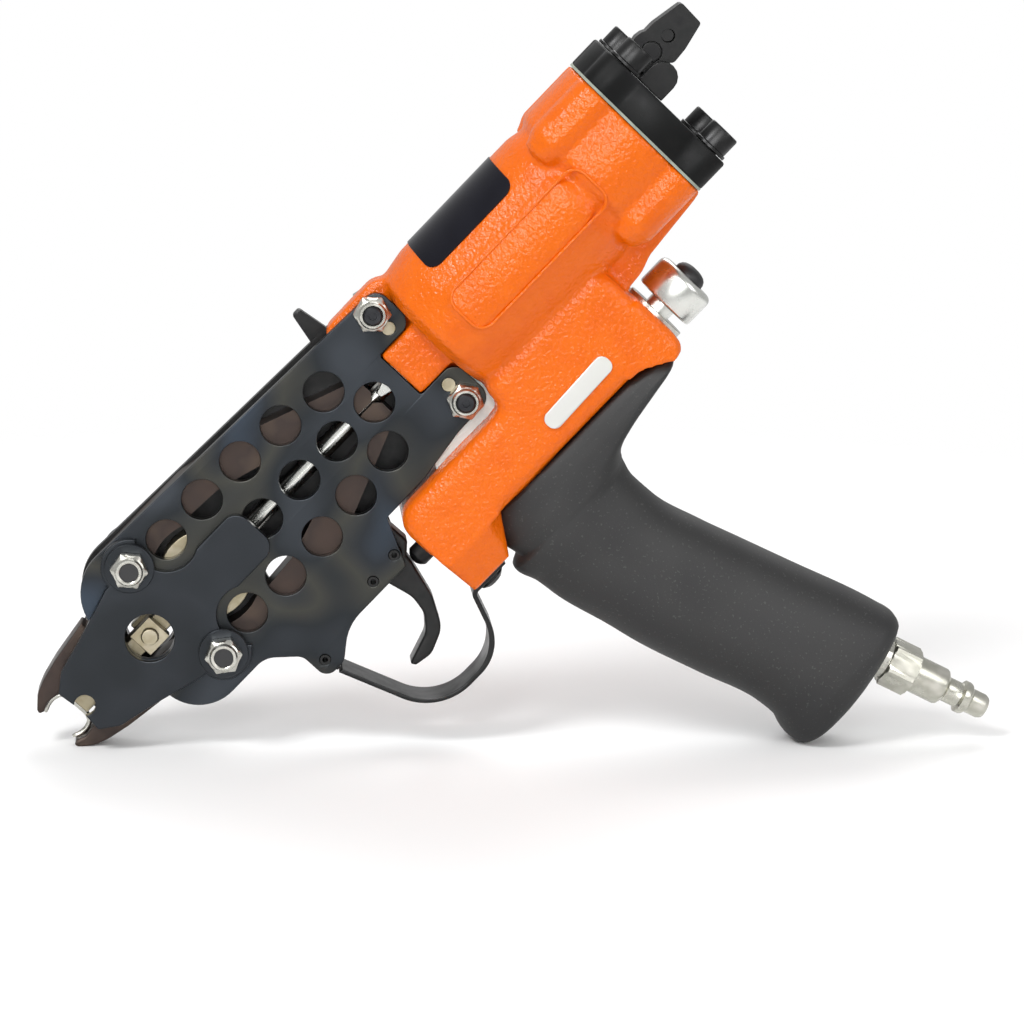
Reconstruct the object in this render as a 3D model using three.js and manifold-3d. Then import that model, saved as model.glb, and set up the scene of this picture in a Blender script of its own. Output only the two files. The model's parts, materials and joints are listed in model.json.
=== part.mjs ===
// Pneumatic hog ring tool, in millimetres, +Z up, standing on its lower jaw and the heel of its grip.
// It is modelled along the tool: x runs rearward from the jaw pivots, z up from the tool's axis, and
// y across it, with -y the side that carries the nuts. The last lines tip it up and set it down.
import * as THREE from 'three';
import { mergeVertices } from 'three/addons/utils/BufferGeometryUtils.js';
import Module from 'manifold-3d';

const wasm = await Module();
wasm.setup();

// Fits
const seat = 0.3; // between pieces that fit into each other
const faceGap = 0.15; // between faces that are bolted together
const slack = 0.35; // round a moving piece
const overrun = 2; // how far a cutter runs past what it cuts

// Side plates and the gap between them
const plateGap = 10;
const plateThickness = 3;
const plateFront = 21.8;
const plateTopFront = 29.3;
const plateTopRear = 23.7;
const plateRear = 113.2;
const plateBottomFront = 30.5;
const plateBelly = 27.5;
const plateBottomRear = 24.9;
const plateCorner = 4.5;
const plateLobe = 16;
const plateNick = 1;
const notchFront = 98.8;
const notchHalf = 8.7;
const guardEarFront = 14.9;
const guardEarRear = 22.5;
const guardEarBottom = 49.1;
const guardEarShoulder = 8.2;
const triggerEarBottom = 42.2;
const triggerEarRear = 57.2;
const triggerEarTop = 64.2;
const catchFront = 86.2;
const catchRoot = 6.6;
const catchHeight = 11;

// Round holes that lighten the plates: two outer rows that curve in towards the rear, one on the axis
const holeRadius = 6.25;
const holePitch = 16.45;
const holeSides = 16;
const outerHoles = 5;
const outerHoleFirst = 13.5;
const outerRowFront = 16.8;
const outerRowRear = 13.4;
const outerRowBow = 8;
const middleHoles = 4;
const middleHoleFirst = 38.1;

// Covers over the nose
const coverThickness = 3;
const coverTongueEnd = 35.2;
const coverTongueHalf = 8.6;
const coverTongueCorner = 5;
const coverFront = 43.9;
const coverLobe = 8.7;
const coverScallop = 9.4;
const coverThroatAt = 41;
const coverThroat = 3.3;
const coverSideShares = [[0.23, 1.03, 0.2], [0.63, 0.77, 0.4], [1, 0.56, 0.05]]; // of its front and the pivots
const windowAt = 12;
const windowRadius = 7.5;

// Jaws and the bushes that they turn on
const jawThickness = 9.3;
const pivotHalf = 19.5;
const bushRadius = 4;
const hookReach = 52.6;
const jawTail = 88.6;
const jawTailHalf = 7.6;
const jawEyeBack = 7.7;
const jawBack = pivotHalf + jawEyeBack;
const jawSplit = 0.35;
const jawHollowAt = 13;
const jawEyeWall = 2.54;
const jawHollow = Math.hypot(jawHollowAt, pivotHalf) - bushRadius - jawEyeWall;
const tailGroove = 3.4;
const tailChamfer = 2;
const jawFrontShares = [[-0.27, 0.7, 0.4], [-0.52, 0.54, 0.4], [-0.84, 0.39, 0.2], [-1, 0.378, 0.05],
  [-0.995, 0.262, 0.04], [-0.843, 0.262, 0.03], [-0.83, 0.294, 0.02], [-0.38, 0.228, 0.3], [-0.11, 0.312, 0.1]];
const jawRearShares = [[0.25, 0.6, 0.3], [0.4, 0.57, 0.3], [0.55, 0.42, 0.4], [0.68, 0.29, 0.4], [0.86, 0.24, 0.1]];
const jawBackShares = [[0.95, 0.36, 0.1], [0.55, 0.86, 0.4], [0.34, 0.99, 0.4], [-0.1, 1.01, 0.3]];

// Ring guide between the jaws, with the stud and square nut for a magazine rail
const guideHeelGap = 2.9;
const guideHeel = jawHollow - guideHeelGap;
const guideNeckHalf = 3.1;
const guideFront = 43.6;
const studRadius = 2.5;
const studStandOut = 1.6;
const squareNutWidth = 8.6;
const squareNutHeight = 4;

// Wire ring waiting in the mouth
const ringWire = 1.7;
const ringHalf = 5.9;
const ringReach = 6.4;

// Piston, its rod, and the wedge and pilot ahead of it
const stroke = 22;
const pilotRadius = 3;
const pilotFront = 25;
const wedgeTip = 89.6;
const wedgeRamp = 20;
const wedgeEnd = 121;
const wedgeTipHalf = 0.9;
const wedgeHalf = 7;
const wedgeThickness = 9.1;
const rodRadius = 6;
const rodThreadRadius = 4;
const bushWall = 1.9;
const bushLength = 16;
const bumperLength = 6.5;
const bumperWall = 6;
const boreRadius = 20;
const pistonClearance = 0.5;
const pistonLength = 14;
const pistonPlay = 2.5;
const sealRadius = 1.6;
const sealInset = 3.5;
const rodNutWidth = 13;
const rodNutHeight = 4;
const endPlay = 0.4;

// Cast housing: barrel and breech, lugs between the plates, valve body and chin
const barrelRadius = 25;
const barrelNose = 19;
const barrelShoulder = 12;
const breechFront = 178;
const breechFlange = 2.4;
const breechRadius = barrelRadius + breechFlange;
const breechRear = 201.2;
const capBossSpread = 17.7;
const capBossRadius = 8;
const bossHalfWidth = 9.4;
const lugFront = 90.8;
const lugTop = 25.6;
const lugToeFront = 86;
const lugToeTop = 20.5;
const valveFront = 65.4;
const valveRear = 164.3;
const valveTop = 28.4;
const valveBottom = 50.3;
const valveHalfWidth = 17.3;
const valveEdge = 4;
const valveNose = 7;
const valveAxis = 44.2;
const valveBore = 4.2;
const chinFront = 66.6;
const chinRear = 81.4;
const chinBottom = 62.6;
const chinHalfWidth = 11;
const chinEdge = 3;
const panelFront = 126;
const panelRear = 176;
const panelTop = 10.4;
const panelBottom = 6.4;
const panelProud = 1;
const panelCorner = 4;

// End cap, its gasket and screws
const gasketThickness = 0.5;
const capStep = 5.4;
const capLength = 10.3;
const capFlange = 27;
const capCrown = 25.6;
const capSpigot = 3.4;
const capSpigotWall = 6;
const screwRadius = 3;
const screwLength = 18;
const screwHeadRadius = 5;
const screwHeadLength = 6;
const screwWasherRadius = 5.6;
const screwWasherLength = 1.1;
const screwSocketRadius = 2.9;
const screwSocketDepth = 3;

// Hanger on the cap: a bracket with a low near tab and a high far cheek, and the lever on its pin
const hangerPivotBack = 8.7;
const hangerPivotUp = 12.4;
const hangerReach = 16.6;
const hangerRoot = 6.6;
const hangerHalfThickness = 3;
const hangerPin = 1.9;
const hangerPinHead = 3;
const hangerPinHeadHeight = 1.2;
const hangerHoleAt = 6.9;
const hangerHole = 2.1;
const hangerCheek = 3;
const hangerCheekGap = 2;
const hangerTabUp = 5.4;
const hangerTabBack = 5.4;
const hangerTabRadius = 4.7;
const hangerBase = 1.6;
const hangerBladeShares = [[1.01, 0.23, 0.06], [0.99, -0.29, 0.06], [0.46, -0.41, 0.2], [0.1, -0.44, 0.1],
  [-0.06, 0.34, 0.1], [0.39, 0.34, 0.2]]; // of its reach

// Roll pins, trigger and trigger valve
const rollPin = 1.65;
const rollPinBore = 0.9;
const triggerPinAt = [57.2, -37.1];
const stopPinAt = [46.8, -38.2];
const guardPinAt = [18.9, -44.4];
const triggerThickness = 8.6;
const triggerDrop = 30.7;
const triggerShares = [[-0.272, -0.17, 0.05], [-0.205, -0.46, 0.3], [-0.245, -0.66, 0.2], [-0.38, -0.81, 0.2],
  [-0.726, -0.919, 0.03], [-0.687, -0.975, 0.03], [-0.5, -1.01, 0.2], [-0.23, -0.9, 0.3], [-0.06, -0.6, 0.3],
  [0.049, -0.221, 0.1], [0.065, -0.12, 0.03], [0.182, -0.02, 0.05], [0.173, 0.248, 0.04],
  [-0.072, 0.254, 0.08], [-0.24, 0.1, 0.1]]; // behind the pin and above it, of the drop
const valveButton = 3.6;
const valveButtonReach = 6.4;
const spoolRadius = 3.85;
const spoolLength = 60;

// Trigger guard and its screw
const guardWidth = 14;
const guardStrip = 1.5;
const guardFloor = 83.1;
const guardLean = 13.9;
const guardRun = 28;
const guardBend = 19;
const guardFoot = 78.4;
const guardEye = 1.4;
const guardTongueHalf = 4.6;
const guardScrewAt = 71.6;
const guardScrewHead = 4.6;
const guardScrewHeadHeight = 2.6;
const guardScrewRadius = 2;
const guardScrewLength = 9;

// Speed knob behind the valve body
const collarRadius = 10.2;
const collarThickness = 1.4;
const knobStem = 4.4;
const knobStemLength = 3.3;
const knobRadius = 10;
const knobLength = 10.8;
const knobEdge = 2;
const knobTail = 14;
const domeRadius = 5.2;
const domeHeight = 3.4;
const domeDepth = 2;

// Grip: a rubber sleeve on the handle core
const gripTop = 50.8;
const gripLength = 124;
const gripFront = 82;
const gripDepth = 76;
const gripWidth = 34;
const gripWall = 4;
const gripSides = 22;
const gripFullnessShare = 0.78; // below 1 the section is fuller than an ellipse
const gripNeckShare = 0.2; // down to here the core stays straight, under the tang and the lip
const gripHeel = 16.8;
const coreEnd = gripTop + gripLength - gripHeel;
const gripShares = [
  [0, 0.034, 0.812, 0.94], [0.023, 0.02, 0.967, 0.98], [0.05, 0, 0.99, 1], [0.07, 0, 1, 1],
  [0.096, 0.005, 0.99, 0.98], [0.104, 0.006, 0.84, 0.97], [0.113, 0.009, 0.67, 0.96],
  [0.127, 0.012, 0.603, 0.96], [0.134, -0.038, 0.59, 0.95], [0.145, -0.043, 0.58, 0.95],
  [0.2, -0.018, 0.558, 0.93], [0.27, -0.005, 0.562, 0.92], [0.4, 0.045, 0.617, 0.92], [0.5, 0.08, 0.67, 0.94],
  [0.66, 0.158, 0.755, 0.97], [0.82, 0.238, 0.842, 1], [0.875, 0.245, 0.866, 1.01], [0.92, 0.225, 0.882, 1],
  [0.945, 0.221, 0.872, 0.95], [0.965, 0.225, 0.8, 0.88], [0.985, 0.236, 0.67, 0.76], [1, 0.31, 0.49, 0.54],
]; // how far down, then front and back by depth, and width

// Bolts, nuts, washers and dowels
const boltRadius = 3;
const nutWidth = 10;
const nutHeight = 4.2;
const nutCollar = 1.2;
const nutCollarRadius = 4.3;
const boltHeadWidth = 10;
const boltHeadHeight = 4;
const pivotBoltStandOut = -0.5;
const earBoltStandOut = 0.8;
const washerRadius = 7.6;
const washerThickness = 1.3;
const earBoltAt = 106.8;
const earBoltHalf = 19.4;
const dowelHalf = 12.6;
const dowelRadius = 2.1;

// Air plug, running out of the heel of the handle
const plugLean = 16.8; // degrees rearward of straight down
const plugRootShare = 0.721; // of the grip's depth, behind its front
const plugSeat = 0.4;
const plugRoot = [gripFront + plugRootShare * gripDepth, plugSeat - gripTop - gripLength];
const plugShank = 26;
const plugShankRadius = 4.6;
const plugSeal = 6.3;
const plugSealLength = 5;
const plugHexWidth = 14;
const plugHexLength = 9.5;
const plugReach = 35.7;
const plugBody = 5.95;
const plugBore = 2.4;
const plugShares = [[0.27, 1], [0.56, 1], [0.6, 0.67], [0.72, 0.67], [0.75, 0.9], [0.8, 0.9], [0.84, 0.67],
  [0.97, 0.67], [1, 0.56]]; // of its reach and its body's radius

// Facets
const facetTurn = THREE.MathUtils.degToRad(22);
const bigSides = 40;
const roundSides = 20;
const smallSides = 12;
const sliver = 1e-3; // the shortest step of an outline

const plateInner = plateGap / 2;
const plateOuter = plateInner + plateThickness;
const coverInner = plateOuter + faceGap;
const coverOuter = coverInner + coverThickness;
const guideThickness = plateGap - 2 * seat;
const bossFront = notchFront + seat;
const bossHalf = notchHalf - seat;
const barrelFront = plateRear + seat;
const capFront = breechRear + gasketThickness + 2 * faceGap;
const capRear = capFront + capLength;
const pistonRear = breechRear - capSpigot - pistonPlay;
const pistonFront = pistonRear - pistonLength;
const bumperFront = pistonFront - stroke - endPlay - bumperLength;
const boreFront = bumperFront - seat;
const guardTop = -chinBottom - faceGap;

const finish = (color, roughness, metalness) => new THREE.MeshStandardMaterial({ color, roughness, metalness });
const orangePaint = finish('#f26a12', 0.45, 0.1);
const bluedSteel = finish('#33363a', 0.4, 0.8);
const brownSteel = finish('#4b423f', 0.5, 0.7);
const bareSteel = finish('#8d866f', 0.5, 0.8);
const chromeSteel = finish('#d5d8da', 0.12, 1);
const zincPlate = finish('#c3c8cc', 0.3, 1);
const blackOxide = finish('#2b2c2e', 0.45, 0.6);
const blackRubber = finish('#3a3b3c', 0.85, 0);
const gasketPaper = finish('#b9b6ab', 0.8, 0);
const bronze = finish('#a8773c', 0.4, 0.9);

const tool = new THREE.Group();

function add(name, shape, material) {
  const mesh = new THREE.Mesh(geometryOf(shape), material);
  mesh.name = name;
  tool.add(mesh);
}

// A geometry as a solid, its shared corners merged.
function solid(geometry) {
  const bare = geometry.clone();
  for (const name of Object.keys(bare.attributes)) if (name !== 'position') bare.deleteAttribute(name);
  const merged = mergeVertices(bare);
  return new wasm.Manifold(new wasm.Mesh({
    numProp: 3,
    vertProperties: merged.attributes.position.array,
    triVerts: new Uint32Array(merged.index.array),
  }));
}

function geometryOf(body) {
  const mesh = body.getMesh();
  const geometry = new THREE.BufferGeometry();
  geometry.setAttribute('position', new THREE.BufferAttribute(mesh.vertProperties, 3));
  geometry.setIndex(new THREE.BufferAttribute(mesh.triVerts, 1));
  geometry.computeVertexNormals();
  return geometry;
}

const join = (first, ...rest) => rest.reduce((whole, part) => whole.add(part), first);
const cut = (body, ...cutters) => cutters.reduce((left, cutter) => left.subtract(cutter), body);

// An outline through corners [x, z, radius], each rounded by an arc that touches both its sides.
function outline(corners) {
  const points = [];
  const origin = new THREE.Vector2();
  corners.forEach(([x, z, radius], i) => {
    const here = new THREE.Vector2(x, z);
    const back = new THREE.Vector2(...corners.at(i - 1)).sub(here);
    const ahead = new THREE.Vector2(...corners[(i + 1) % corners.length]).sub(here);
    const cosine = back.dot(ahead) / (back.length() * ahead.length());
    const half = Math.acos(THREE.MathUtils.clamp(cosine, -1, 1)) / 2;
    const reach = Math.min(radius / Math.tan(half), back.length() / 2, ahead.length() / 2);
    const bend = reach * Math.tan(half);
    const middle = back.clone().normalize().add(ahead.clone().normalize()).setLength(bend / Math.sin(half));
    const from = back.clone().setLength(reach).sub(middle);
    const turn = (Math.PI - 2 * half) * Math.sign(ahead.cross(back));
    const count = Math.max(1, Math.round(Math.abs(turn) / facetTurn));
    for (let k = 0; k <= count; k++) {
      const point = from.clone().rotateAround(origin, (turn * k) / count).add(middle).add(here);
      if (!points.length || points.at(-1).distanceTo(point) > sliver) points.push(point);
    }
  });
  if (points[0].distanceTo(points.at(-1)) <= sliver) points.pop();
  return points;
}

const scaled = (shares, long, high = long, x = 0, z = 0) =>
  shares.map(([a, b, c]) => [x + a * long, z + b * high, c * high]);
const mirrored = (corners) => corners.map(([x, z, radius]) => [x, -z, radius]);

// An outline drawn out across the tool, from y = near to y = far.
function across(corners, near, far) {
  const options = { depth: far - near, bevelEnabled: false };
  const geometry = new THREE.ExtrudeGeometry(new THREE.Shape(outline(corners)), options);
  return solid(geometry.rotateX(Math.PI / 2).translate(0, far, 0));
}

// The same, centred on the tool and with its long edges rounded over.
function moulded(corners, halfWidth, edge) {
  const geometry = new THREE.ExtrudeGeometry(new THREE.Shape(outline(corners)), {
    depth: 2 * (halfWidth - edge), bevelThickness: edge, bevelSize: edge, bevelOffset: -edge, bevelSegments: 3,
  });
  return solid(geometry.rotateX(Math.PI / 2).translate(0, halfWidth - edge, 0));
}

function turnedGeometry(profile, sides) {
  const points = profile.map(([x, radius]) => new THREE.Vector2(radius, x));
  return new THREE.LatheGeometry(points, sides).rotateZ(-Math.PI / 2);
}

// A profile of [x, radius] turned about a line along the tool through y, z.
const turned = (profile, sides = roundSides, y = 0, z = 0) =>
  solid(turnedGeometry(profile, sides).translate(0, y, z));
const rodBetween = (from, to, radius, sides = roundSides, y = 0, z = 0) =>
  turned([[from, 0], [from, radius], [to, radius], [to, 0]], sides, y, z);
const ringBetween = (from, to, inner, outer, sides = roundSides) =>
  turned([[from, inner], [from, outer], [to, outer], [to, inner], [from, inner]], sides);

// A profile of [y, radius] turned about a line across the tool through x, z.
function crossPin(profile, x, z, sides = smallSides) {
  const points = profile.map(([y, radius]) => new THREE.Vector2(radius, y));
  return solid(new THREE.LatheGeometry(points, sides).translate(x, 0, z));
}
const crossRod = (near, far, radius, x, z, sides = smallSides) =>
  crossPin([[near, 0], [near, radius], [far, radius], [far, 0]], x, z, sides);
const crossRing = (near, far, inner, outer, x, z, sides = roundSides) =>
  crossPin([[near, inner], [near, outer], [far, outer], [far, inner], [near, inner]], x, z, sides);

function hexAcross(width, near, far, x, z) {
  const corner = width / Math.sqrt(3);
  const geometry = new THREE.CylinderGeometry(corner, corner, far - near, 6);
  return solid(geometry.translate(x, (near + far) / 2, z));
}

function box(x0, x1, y0, y1, z0, z1) {
  const geometry = new THREE.BoxGeometry(x1 - x0, y1 - y0, z1 - z0);
  return solid(geometry.translate((x0 + x1) / 2, (y0 + y1) / 2, (z0 + z1) / 2));
}

function holePlaces() {
  const places = [];
  for (let i = 0; i < outerHoles; i++) {
    const along = i / (outerHoles - 1);
    const half = THREE.MathUtils.lerp(outerRowFront, outerRowRear, along) + outerRowBow * along * (1 - along);
    places.push([outerHoleFirst + i * holePitch, half], [outerHoleFirst + i * holePitch, -half]);
  }
  for (let i = 0; i < middleHoles; i++) places.push([middleHoleFirst + i * holePitch, 0]);
  return places;
}

const capScrewPlaces = [[1, 1], [-1, 1], [-1, -1], [1, -1]].map(([y, z]) => [y * capBossSpread, z * capBossSpread]);

function sidePlate(near, far) {
  const body = across([
    [-plateFront, plateTopFront, plateLobe],
    [plateRear, plateTopRear, plateCorner],
    [plateRear, notchHalf, plateCorner],
    [notchFront, notchHalf, plateNick],
    [notchFront, -notchHalf, plateNick],
    [plateRear, -notchHalf, plateCorner],
    [plateRear, -plateBottomRear, plateCorner],
    [notchFront, -plateBottomRear, plateLobe],
    [triggerEarTop + plateLobe, -plateBelly, plateLobe],
    [triggerEarTop, -plateBelly, plateNick],
    [triggerEarRear, -triggerEarBottom, plateNick * 2],
    [guardEarRear + 2 * plateCorner, -triggerEarBottom, plateLobe],
    [guardEarRear, -guardEarBottom, plateCorner],
    [guardEarFront, -guardEarBottom, plateCorner],
    [guardEarFront, -plateBottomFront - guardEarShoulder, plateCorner],
    [guardEarFront - guardEarShoulder, -plateBottomFront, plateLobe / 2],
    [-plateFront, -plateBottomFront, plateLobe],
  ], near, far);
  const [start, end] = [near - overrun, far + overrun];
  return cut(
    body,
    crossRod(start, end, windowRadius, -windowAt, 0, roundSides),
    ...holePlaces().map(([x, z]) => crossRod(start, end, holeRadius, x, z, holeSides)),
    ...[pivotHalf, -pivotHalf].map((z) => crossRod(start, end, boltRadius + seat, 0, z)),
    ...[earBoltHalf, -earBoltHalf].map((z) => crossRod(start, end, boltRadius + seat, earBoltAt, z)),
    ...[dowelHalf, -dowelHalf].map((z) => crossRod(start, end, dowelRadius + seat, earBoltAt, z)),
    ...[triggerPinAt, stopPinAt, guardPinAt].map(([x, z]) => crossRod(start, end, rollPin + seat, x, z)),
  );
}

// The far plate also has a catch that stands up from its top edge.
function catchTab(near, far) {
  const root = plateTopRear - plateCorner;
  const top = plateTopRear + catchHeight;
  return across([
    [catchFront, root, plateNick], [catchFront + catchRoot, root, plateNick],
    [catchFront + catchRoot * 0.77, top, plateNick], [catchFront + catchRoot * 0.34, top, plateNick],
  ], near, far);
}

function noseCover(near, far) {
  const side = scaled(coverSideShares, -coverFront, pivotHalf);
  const half = [
    [coverTongueEnd, coverTongueHalf, coverTongueCorner], [outerHoleFirst, coverTongueHalf, coverTongueCorner],
    [coverLobe, pivotHalf, coverLobe], ...side,
  ];
  const body = across([...half, ...mirrored(half).reverse()], near, far);
  const [start, end] = [near - overrun, far + overrun];
  const lobes = [pivotHalf, -pivotHalf].map((z) => crossRod(near, far, coverLobe, 0, z, roundSides));
  return cut(
    join(body, ...lobes),
    ...[outerRowFront, -outerRowFront].map((z) => crossRod(start, end, coverScallop, outerHoleFirst, z, roundSides)),
    ...[pivotHalf, -pivotHalf].map((z) => crossRod(start, end, boltRadius + seat, 0, z)),
    crossRod(start, end, windowRadius, -windowAt, 0, roundSides),
    crossRod(start, end, coverThroat, -coverThroatAt, 0),
  );
}

// A jaw has a hook ahead of its pivot, and a tail whose end lies against the other's on the axis.
function jaw(side) {
  const upper = [
    ...scaled(jawFrontShares, hookReach, jawBack),
    ...scaled(jawRearShares, jawTail, jawBack),
    [jawTail - jawTailHalf, jawSplit, tailChamfer],
    [jawTail - tailChamfer, jawSplit, tailChamfer / 4],
    [jawTail, jawSplit + tailChamfer, tailChamfer / 4],
    [jawTail, jawTailHalf, tailChamfer / 2],
    ...scaled(jawBackShares, jawTail, jawBack),
  ];
  const body = across(side > 0 ? upper : mirrored(upper), -jawThickness / 2, jawThickness / 2);
  return cut(
    body,
    crossRod(-plateGap, plateGap, jawHollow, jawHollowAt, 0, bigSides),
    crossRod(-plateGap, plateGap, bushRadius + slack / 2, 0, side * pivotHalf, roundSides),
    rodBetween(pilotFront, jawTail + overrun, tailGroove, smallSides),
  );
}

// The guide fills the space between the jaws: a neck to the mouth, and a round heel bored for the pilot.
function ringGuide() {
  const half = guideThickness / 2;
  const heel = crossRod(-half, half, guideHeel, jawHollowAt, 0, bigSides);
  const neck = box(-guideFront, jawHollowAt, -half, half, -guideNeckHalf, guideNeckHalf);
  return cut(
    join(heel, neck),
    rodBetween(pilotFront - stroke - pilotRadius, jawHollowAt + guideHeel + overrun, pilotRadius + slack, smallSides),
    crossRod(-guideThickness, guideThickness, studRadius + seat, -windowAt, 0),
  );
}

// The ring in the mouth is a C of round wire, open to the front.
function wireRing() {
  const back = -guideFront - ringWire / 2 - seat;
  const corner = ringHalf / 2;
  const half = [
    [back - ringReach, ringHalf - corner], [back - ringReach * 0.8, ringHalf - corner / 3],
    [back - ringReach * 0.45, ringHalf], [back - corner / 3, ringHalf - corner / 3], [back, ringHalf - corner * 1.3],
  ];
  const points = [...half, ...mirrored(half).reverse()].map(([x, z]) => new THREE.Vector3(x, 0, z));
  const section = new THREE.Shape().absarc(0, 0, ringWire / 2, 0, 2 * Math.PI);
  const options = { extrudePath: new THREE.CatmullRomCurve3(points), steps: 24, curveSegments: 4 };
  return solid(new THREE.ExtrudeGeometry(section, options));
}

function nose() {
  add('near_side_plate', sidePlate(-plateOuter, -plateInner), bluedSteel);
  const farPlate = join(sidePlate(plateInner, plateOuter), catchTab(plateInner, plateOuter));
  add('far_side_plate', farPlate, bluedSteel);
  add('near_nose_cover', noseCover(-coverOuter, -coverInner), bluedSteel);
  add('far_nose_cover', noseCover(coverInner, coverOuter), bluedSteel);
  add('upper_jaw', jaw(1), brownSteel);
  add('lower_jaw', jaw(-1), brownSteel);
  add('ring_guide', ringGuide(), bareSteel);
  const face = guideThickness / 2 + faceGap;
  const square = (near, far) => box(-windowAt - squareNutWidth / 2, -windowAt + squareNutWidth / 2, near, far,
    -squareNutWidth / 2, squareNutWidth / 2);
  const stud = crossRod(-face - squareNutHeight - studStandOut, face + faceGap, studRadius, -windowAt, 0);
  add('guide_stud', join(stud, square(face, face + squareNutHeight)), bareSteel);
  const studHole = crossRod(-plateGap, 0, studRadius + seat / 2, -windowAt, 0);
  add('square_nut', cut(square(-face - squareNutHeight, -face), studHole), bareSteel);
  add('loaded_ring', wireRing(), chromeSteel);
}

// A bolt through both plates: its head on the far side, a lock nut on the near one.
function boltAndNut(name, x, z, grip, standOut, washers) {
  const under = grip + (washers ? faceGap + washerThickness : 0);
  const start = under + faceGap;
  const end = start + nutHeight + nutCollar + standOut;
  const shank = crossRod(-end, start + faceGap, boltRadius, x, z);
  add(`${name}_bolt`, join(shank, hexAcross(boltHeadWidth, start, start + boltHeadHeight, x, z)), zincPlate);
  const nutTop = -start - nutHeight;
  const collar = crossRod(nutTop - nutCollar, nutTop + nutCollar, nutCollarRadius, x, z);
  const nut = join(hexAcross(nutWidth, nutTop, -start, x, z), collar);
  add(`${name}_nut`, cut(nut, crossRod(-end - overrun, 0, boltRadius + seat / 2, x, z)), zincPlate);
  if (!washers) return;
  for (const [side, near] of [['near', -grip - faceGap - washerThickness], ['far', grip + faceGap]]) {
    const washer = crossRing(near, near + washerThickness, boltRadius + seat, washerRadius, x, z);
    add(`${name}_${side}_washer`, washer, zincPlate);
  }
}

function bolts() {
  for (const [name, side] of [['upper', 1], ['lower', -1]]) {
    boltAndNut(`${name}_pivot`, 0, side * pivotHalf, coverOuter, pivotBoltStandOut, true);
    const half = plateInner - faceGap;
    add(`${name}_jaw_bush`, crossRing(-half, half, boltRadius + seat, bushRadius, 0, side * pivotHalf), bronze);
    boltAndNut(`${name}_ear`, earBoltAt, side * earBoltHalf, plateOuter, earBoltStandOut, false);
    add(`${name}_dowel`, crossRod(-plateOuter, plateOuter, dowelRadius, earBoltAt, side * dowelHalf), bronze);
  }
  for (const [name, [x, z]] of [['trigger_pin', triggerPinAt], ['stop_pin', stopPinAt], ['guard_pin', guardPinAt]]) {
    add(name, crossRing(-plateOuter - seat, plateOuter + seat, rollPinBore, rollPin, x, z, smallSides), blackOxide);
  }
}

function drive() {
  const rampEnd = wedgeTip + wedgeRamp;
  const wedge = across([
    [wedgeTip, wedgeTipHalf, wedgeTipHalf / 2], [wedgeTip, -wedgeTipHalf, wedgeTipHalf / 2],
    [rampEnd, -wedgeHalf, wedgeHalf], [wedgeEnd, -wedgeHalf, wedgeTipHalf],
    [wedgeEnd, wedgeHalf, wedgeTipHalf], [rampEnd, wedgeHalf, wedgeHalf],
  ], -wedgeThickness / 2, wedgeThickness / 2);
  const pilot = turned([
    [pilotFront, 0], [pilotFront, pilotRadius - wedgeTipHalf], [pilotFront + wedgeTipHalf, pilotRadius],
    [wedgeEnd, pilotRadius], [wedgeEnd, 0],
  ], smallSides);
  add('wedge', join(wedge, pilot), chromeSteel);
  const nutStart = pistonRear + faceGap;
  add('piston_rod', turned([
    [wedgeEnd + faceGap, 0], [wedgeEnd + faceGap, rodRadius], [pistonFront - faceGap, rodRadius],
    [pistonFront - faceGap, rodThreadRadius], [nutStart + rodNutHeight, rodThreadRadius],
    [nutStart + rodNutHeight, 0],
  ]), chromeSteel);
  const radius = boreRadius - pistonClearance;
  const groove = (pistonFront + pistonRear) / 2;
  const half = sealRadius + seat;
  const bore = rodThreadRadius + seat;
  add('piston', turned([
    [pistonFront, bore], [pistonFront, radius], [groove - half, radius], [groove - half, radius - sealInset],
    [groove + half, radius - sealInset], [groove + half, radius], [pistonRear, radius], [pistonRear, bore],
    [pistonFront, bore],
  ], bigSides), bareSteel);
  const seal = new THREE.TorusGeometry(boreRadius - seat - sealRadius, sealRadius, 6, roundSides);
  add('piston_seal', solid(seal.rotateY(Math.PI / 2).translate(groove, 0, 0)), blackRubber);
  const nut = new THREE.CylinderGeometry(rodNutWidth / Math.sqrt(3), rodNutWidth / Math.sqrt(3), rodNutHeight, 6);
  const nutBody = solid(nut.rotateZ(-Math.PI / 2).translate(nutStart + rodNutHeight / 2, 0, 0));
  add('rod_nut', cut(nutBody, rodBetween(pistonRear, breechRear, rodThreadRadius + seat / 2)), zincPlate);
  const bushRear = boreFront - faceGap;
  add('rod_bush', ringBetween(bushRear - bushLength, bushRear, rodRadius + slack / 2, rodRadius + bushWall), bronze);
  add('bumper', ringBetween(bumperFront, bumperFront + bumperLength, boreRadius - bumperWall, boreRadius - slack),
    blackRubber);
}

function valveBody() {
  const round = valveEdge * 1.5;
  // The sides end where they meet the barrel, or inside it, with room for their rounded corners.
  const meeting = Math.sqrt(barrelRadius ** 2 - valveHalfWidth ** 2);
  const rise = -Math.min(meeting, valveTop - valveEdge - round);
  const body = moulded([
    [valveRear, rise, round], [valveRear, -valveBottom, round], [valveFront, -valveBottom, valveNose],
    [valveFront, -valveTop, valveNose], [barrelFront, -valveTop, valveEdge], [barrelFront, rise, round],
  ], valveHalfWidth, valveEdge);
  const chinRound = chinEdge * 1.4;
  const chin = moulded([
    [chinFront, -valveAxis, chinRound], [chinFront, -chinBottom, chinRound], [chinRear, -chinBottom, chinRound],
    [chinRear, -valveAxis, chinRound],
  ], chinHalfWidth, chinEdge);
  return join(body, chin);
}

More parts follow.
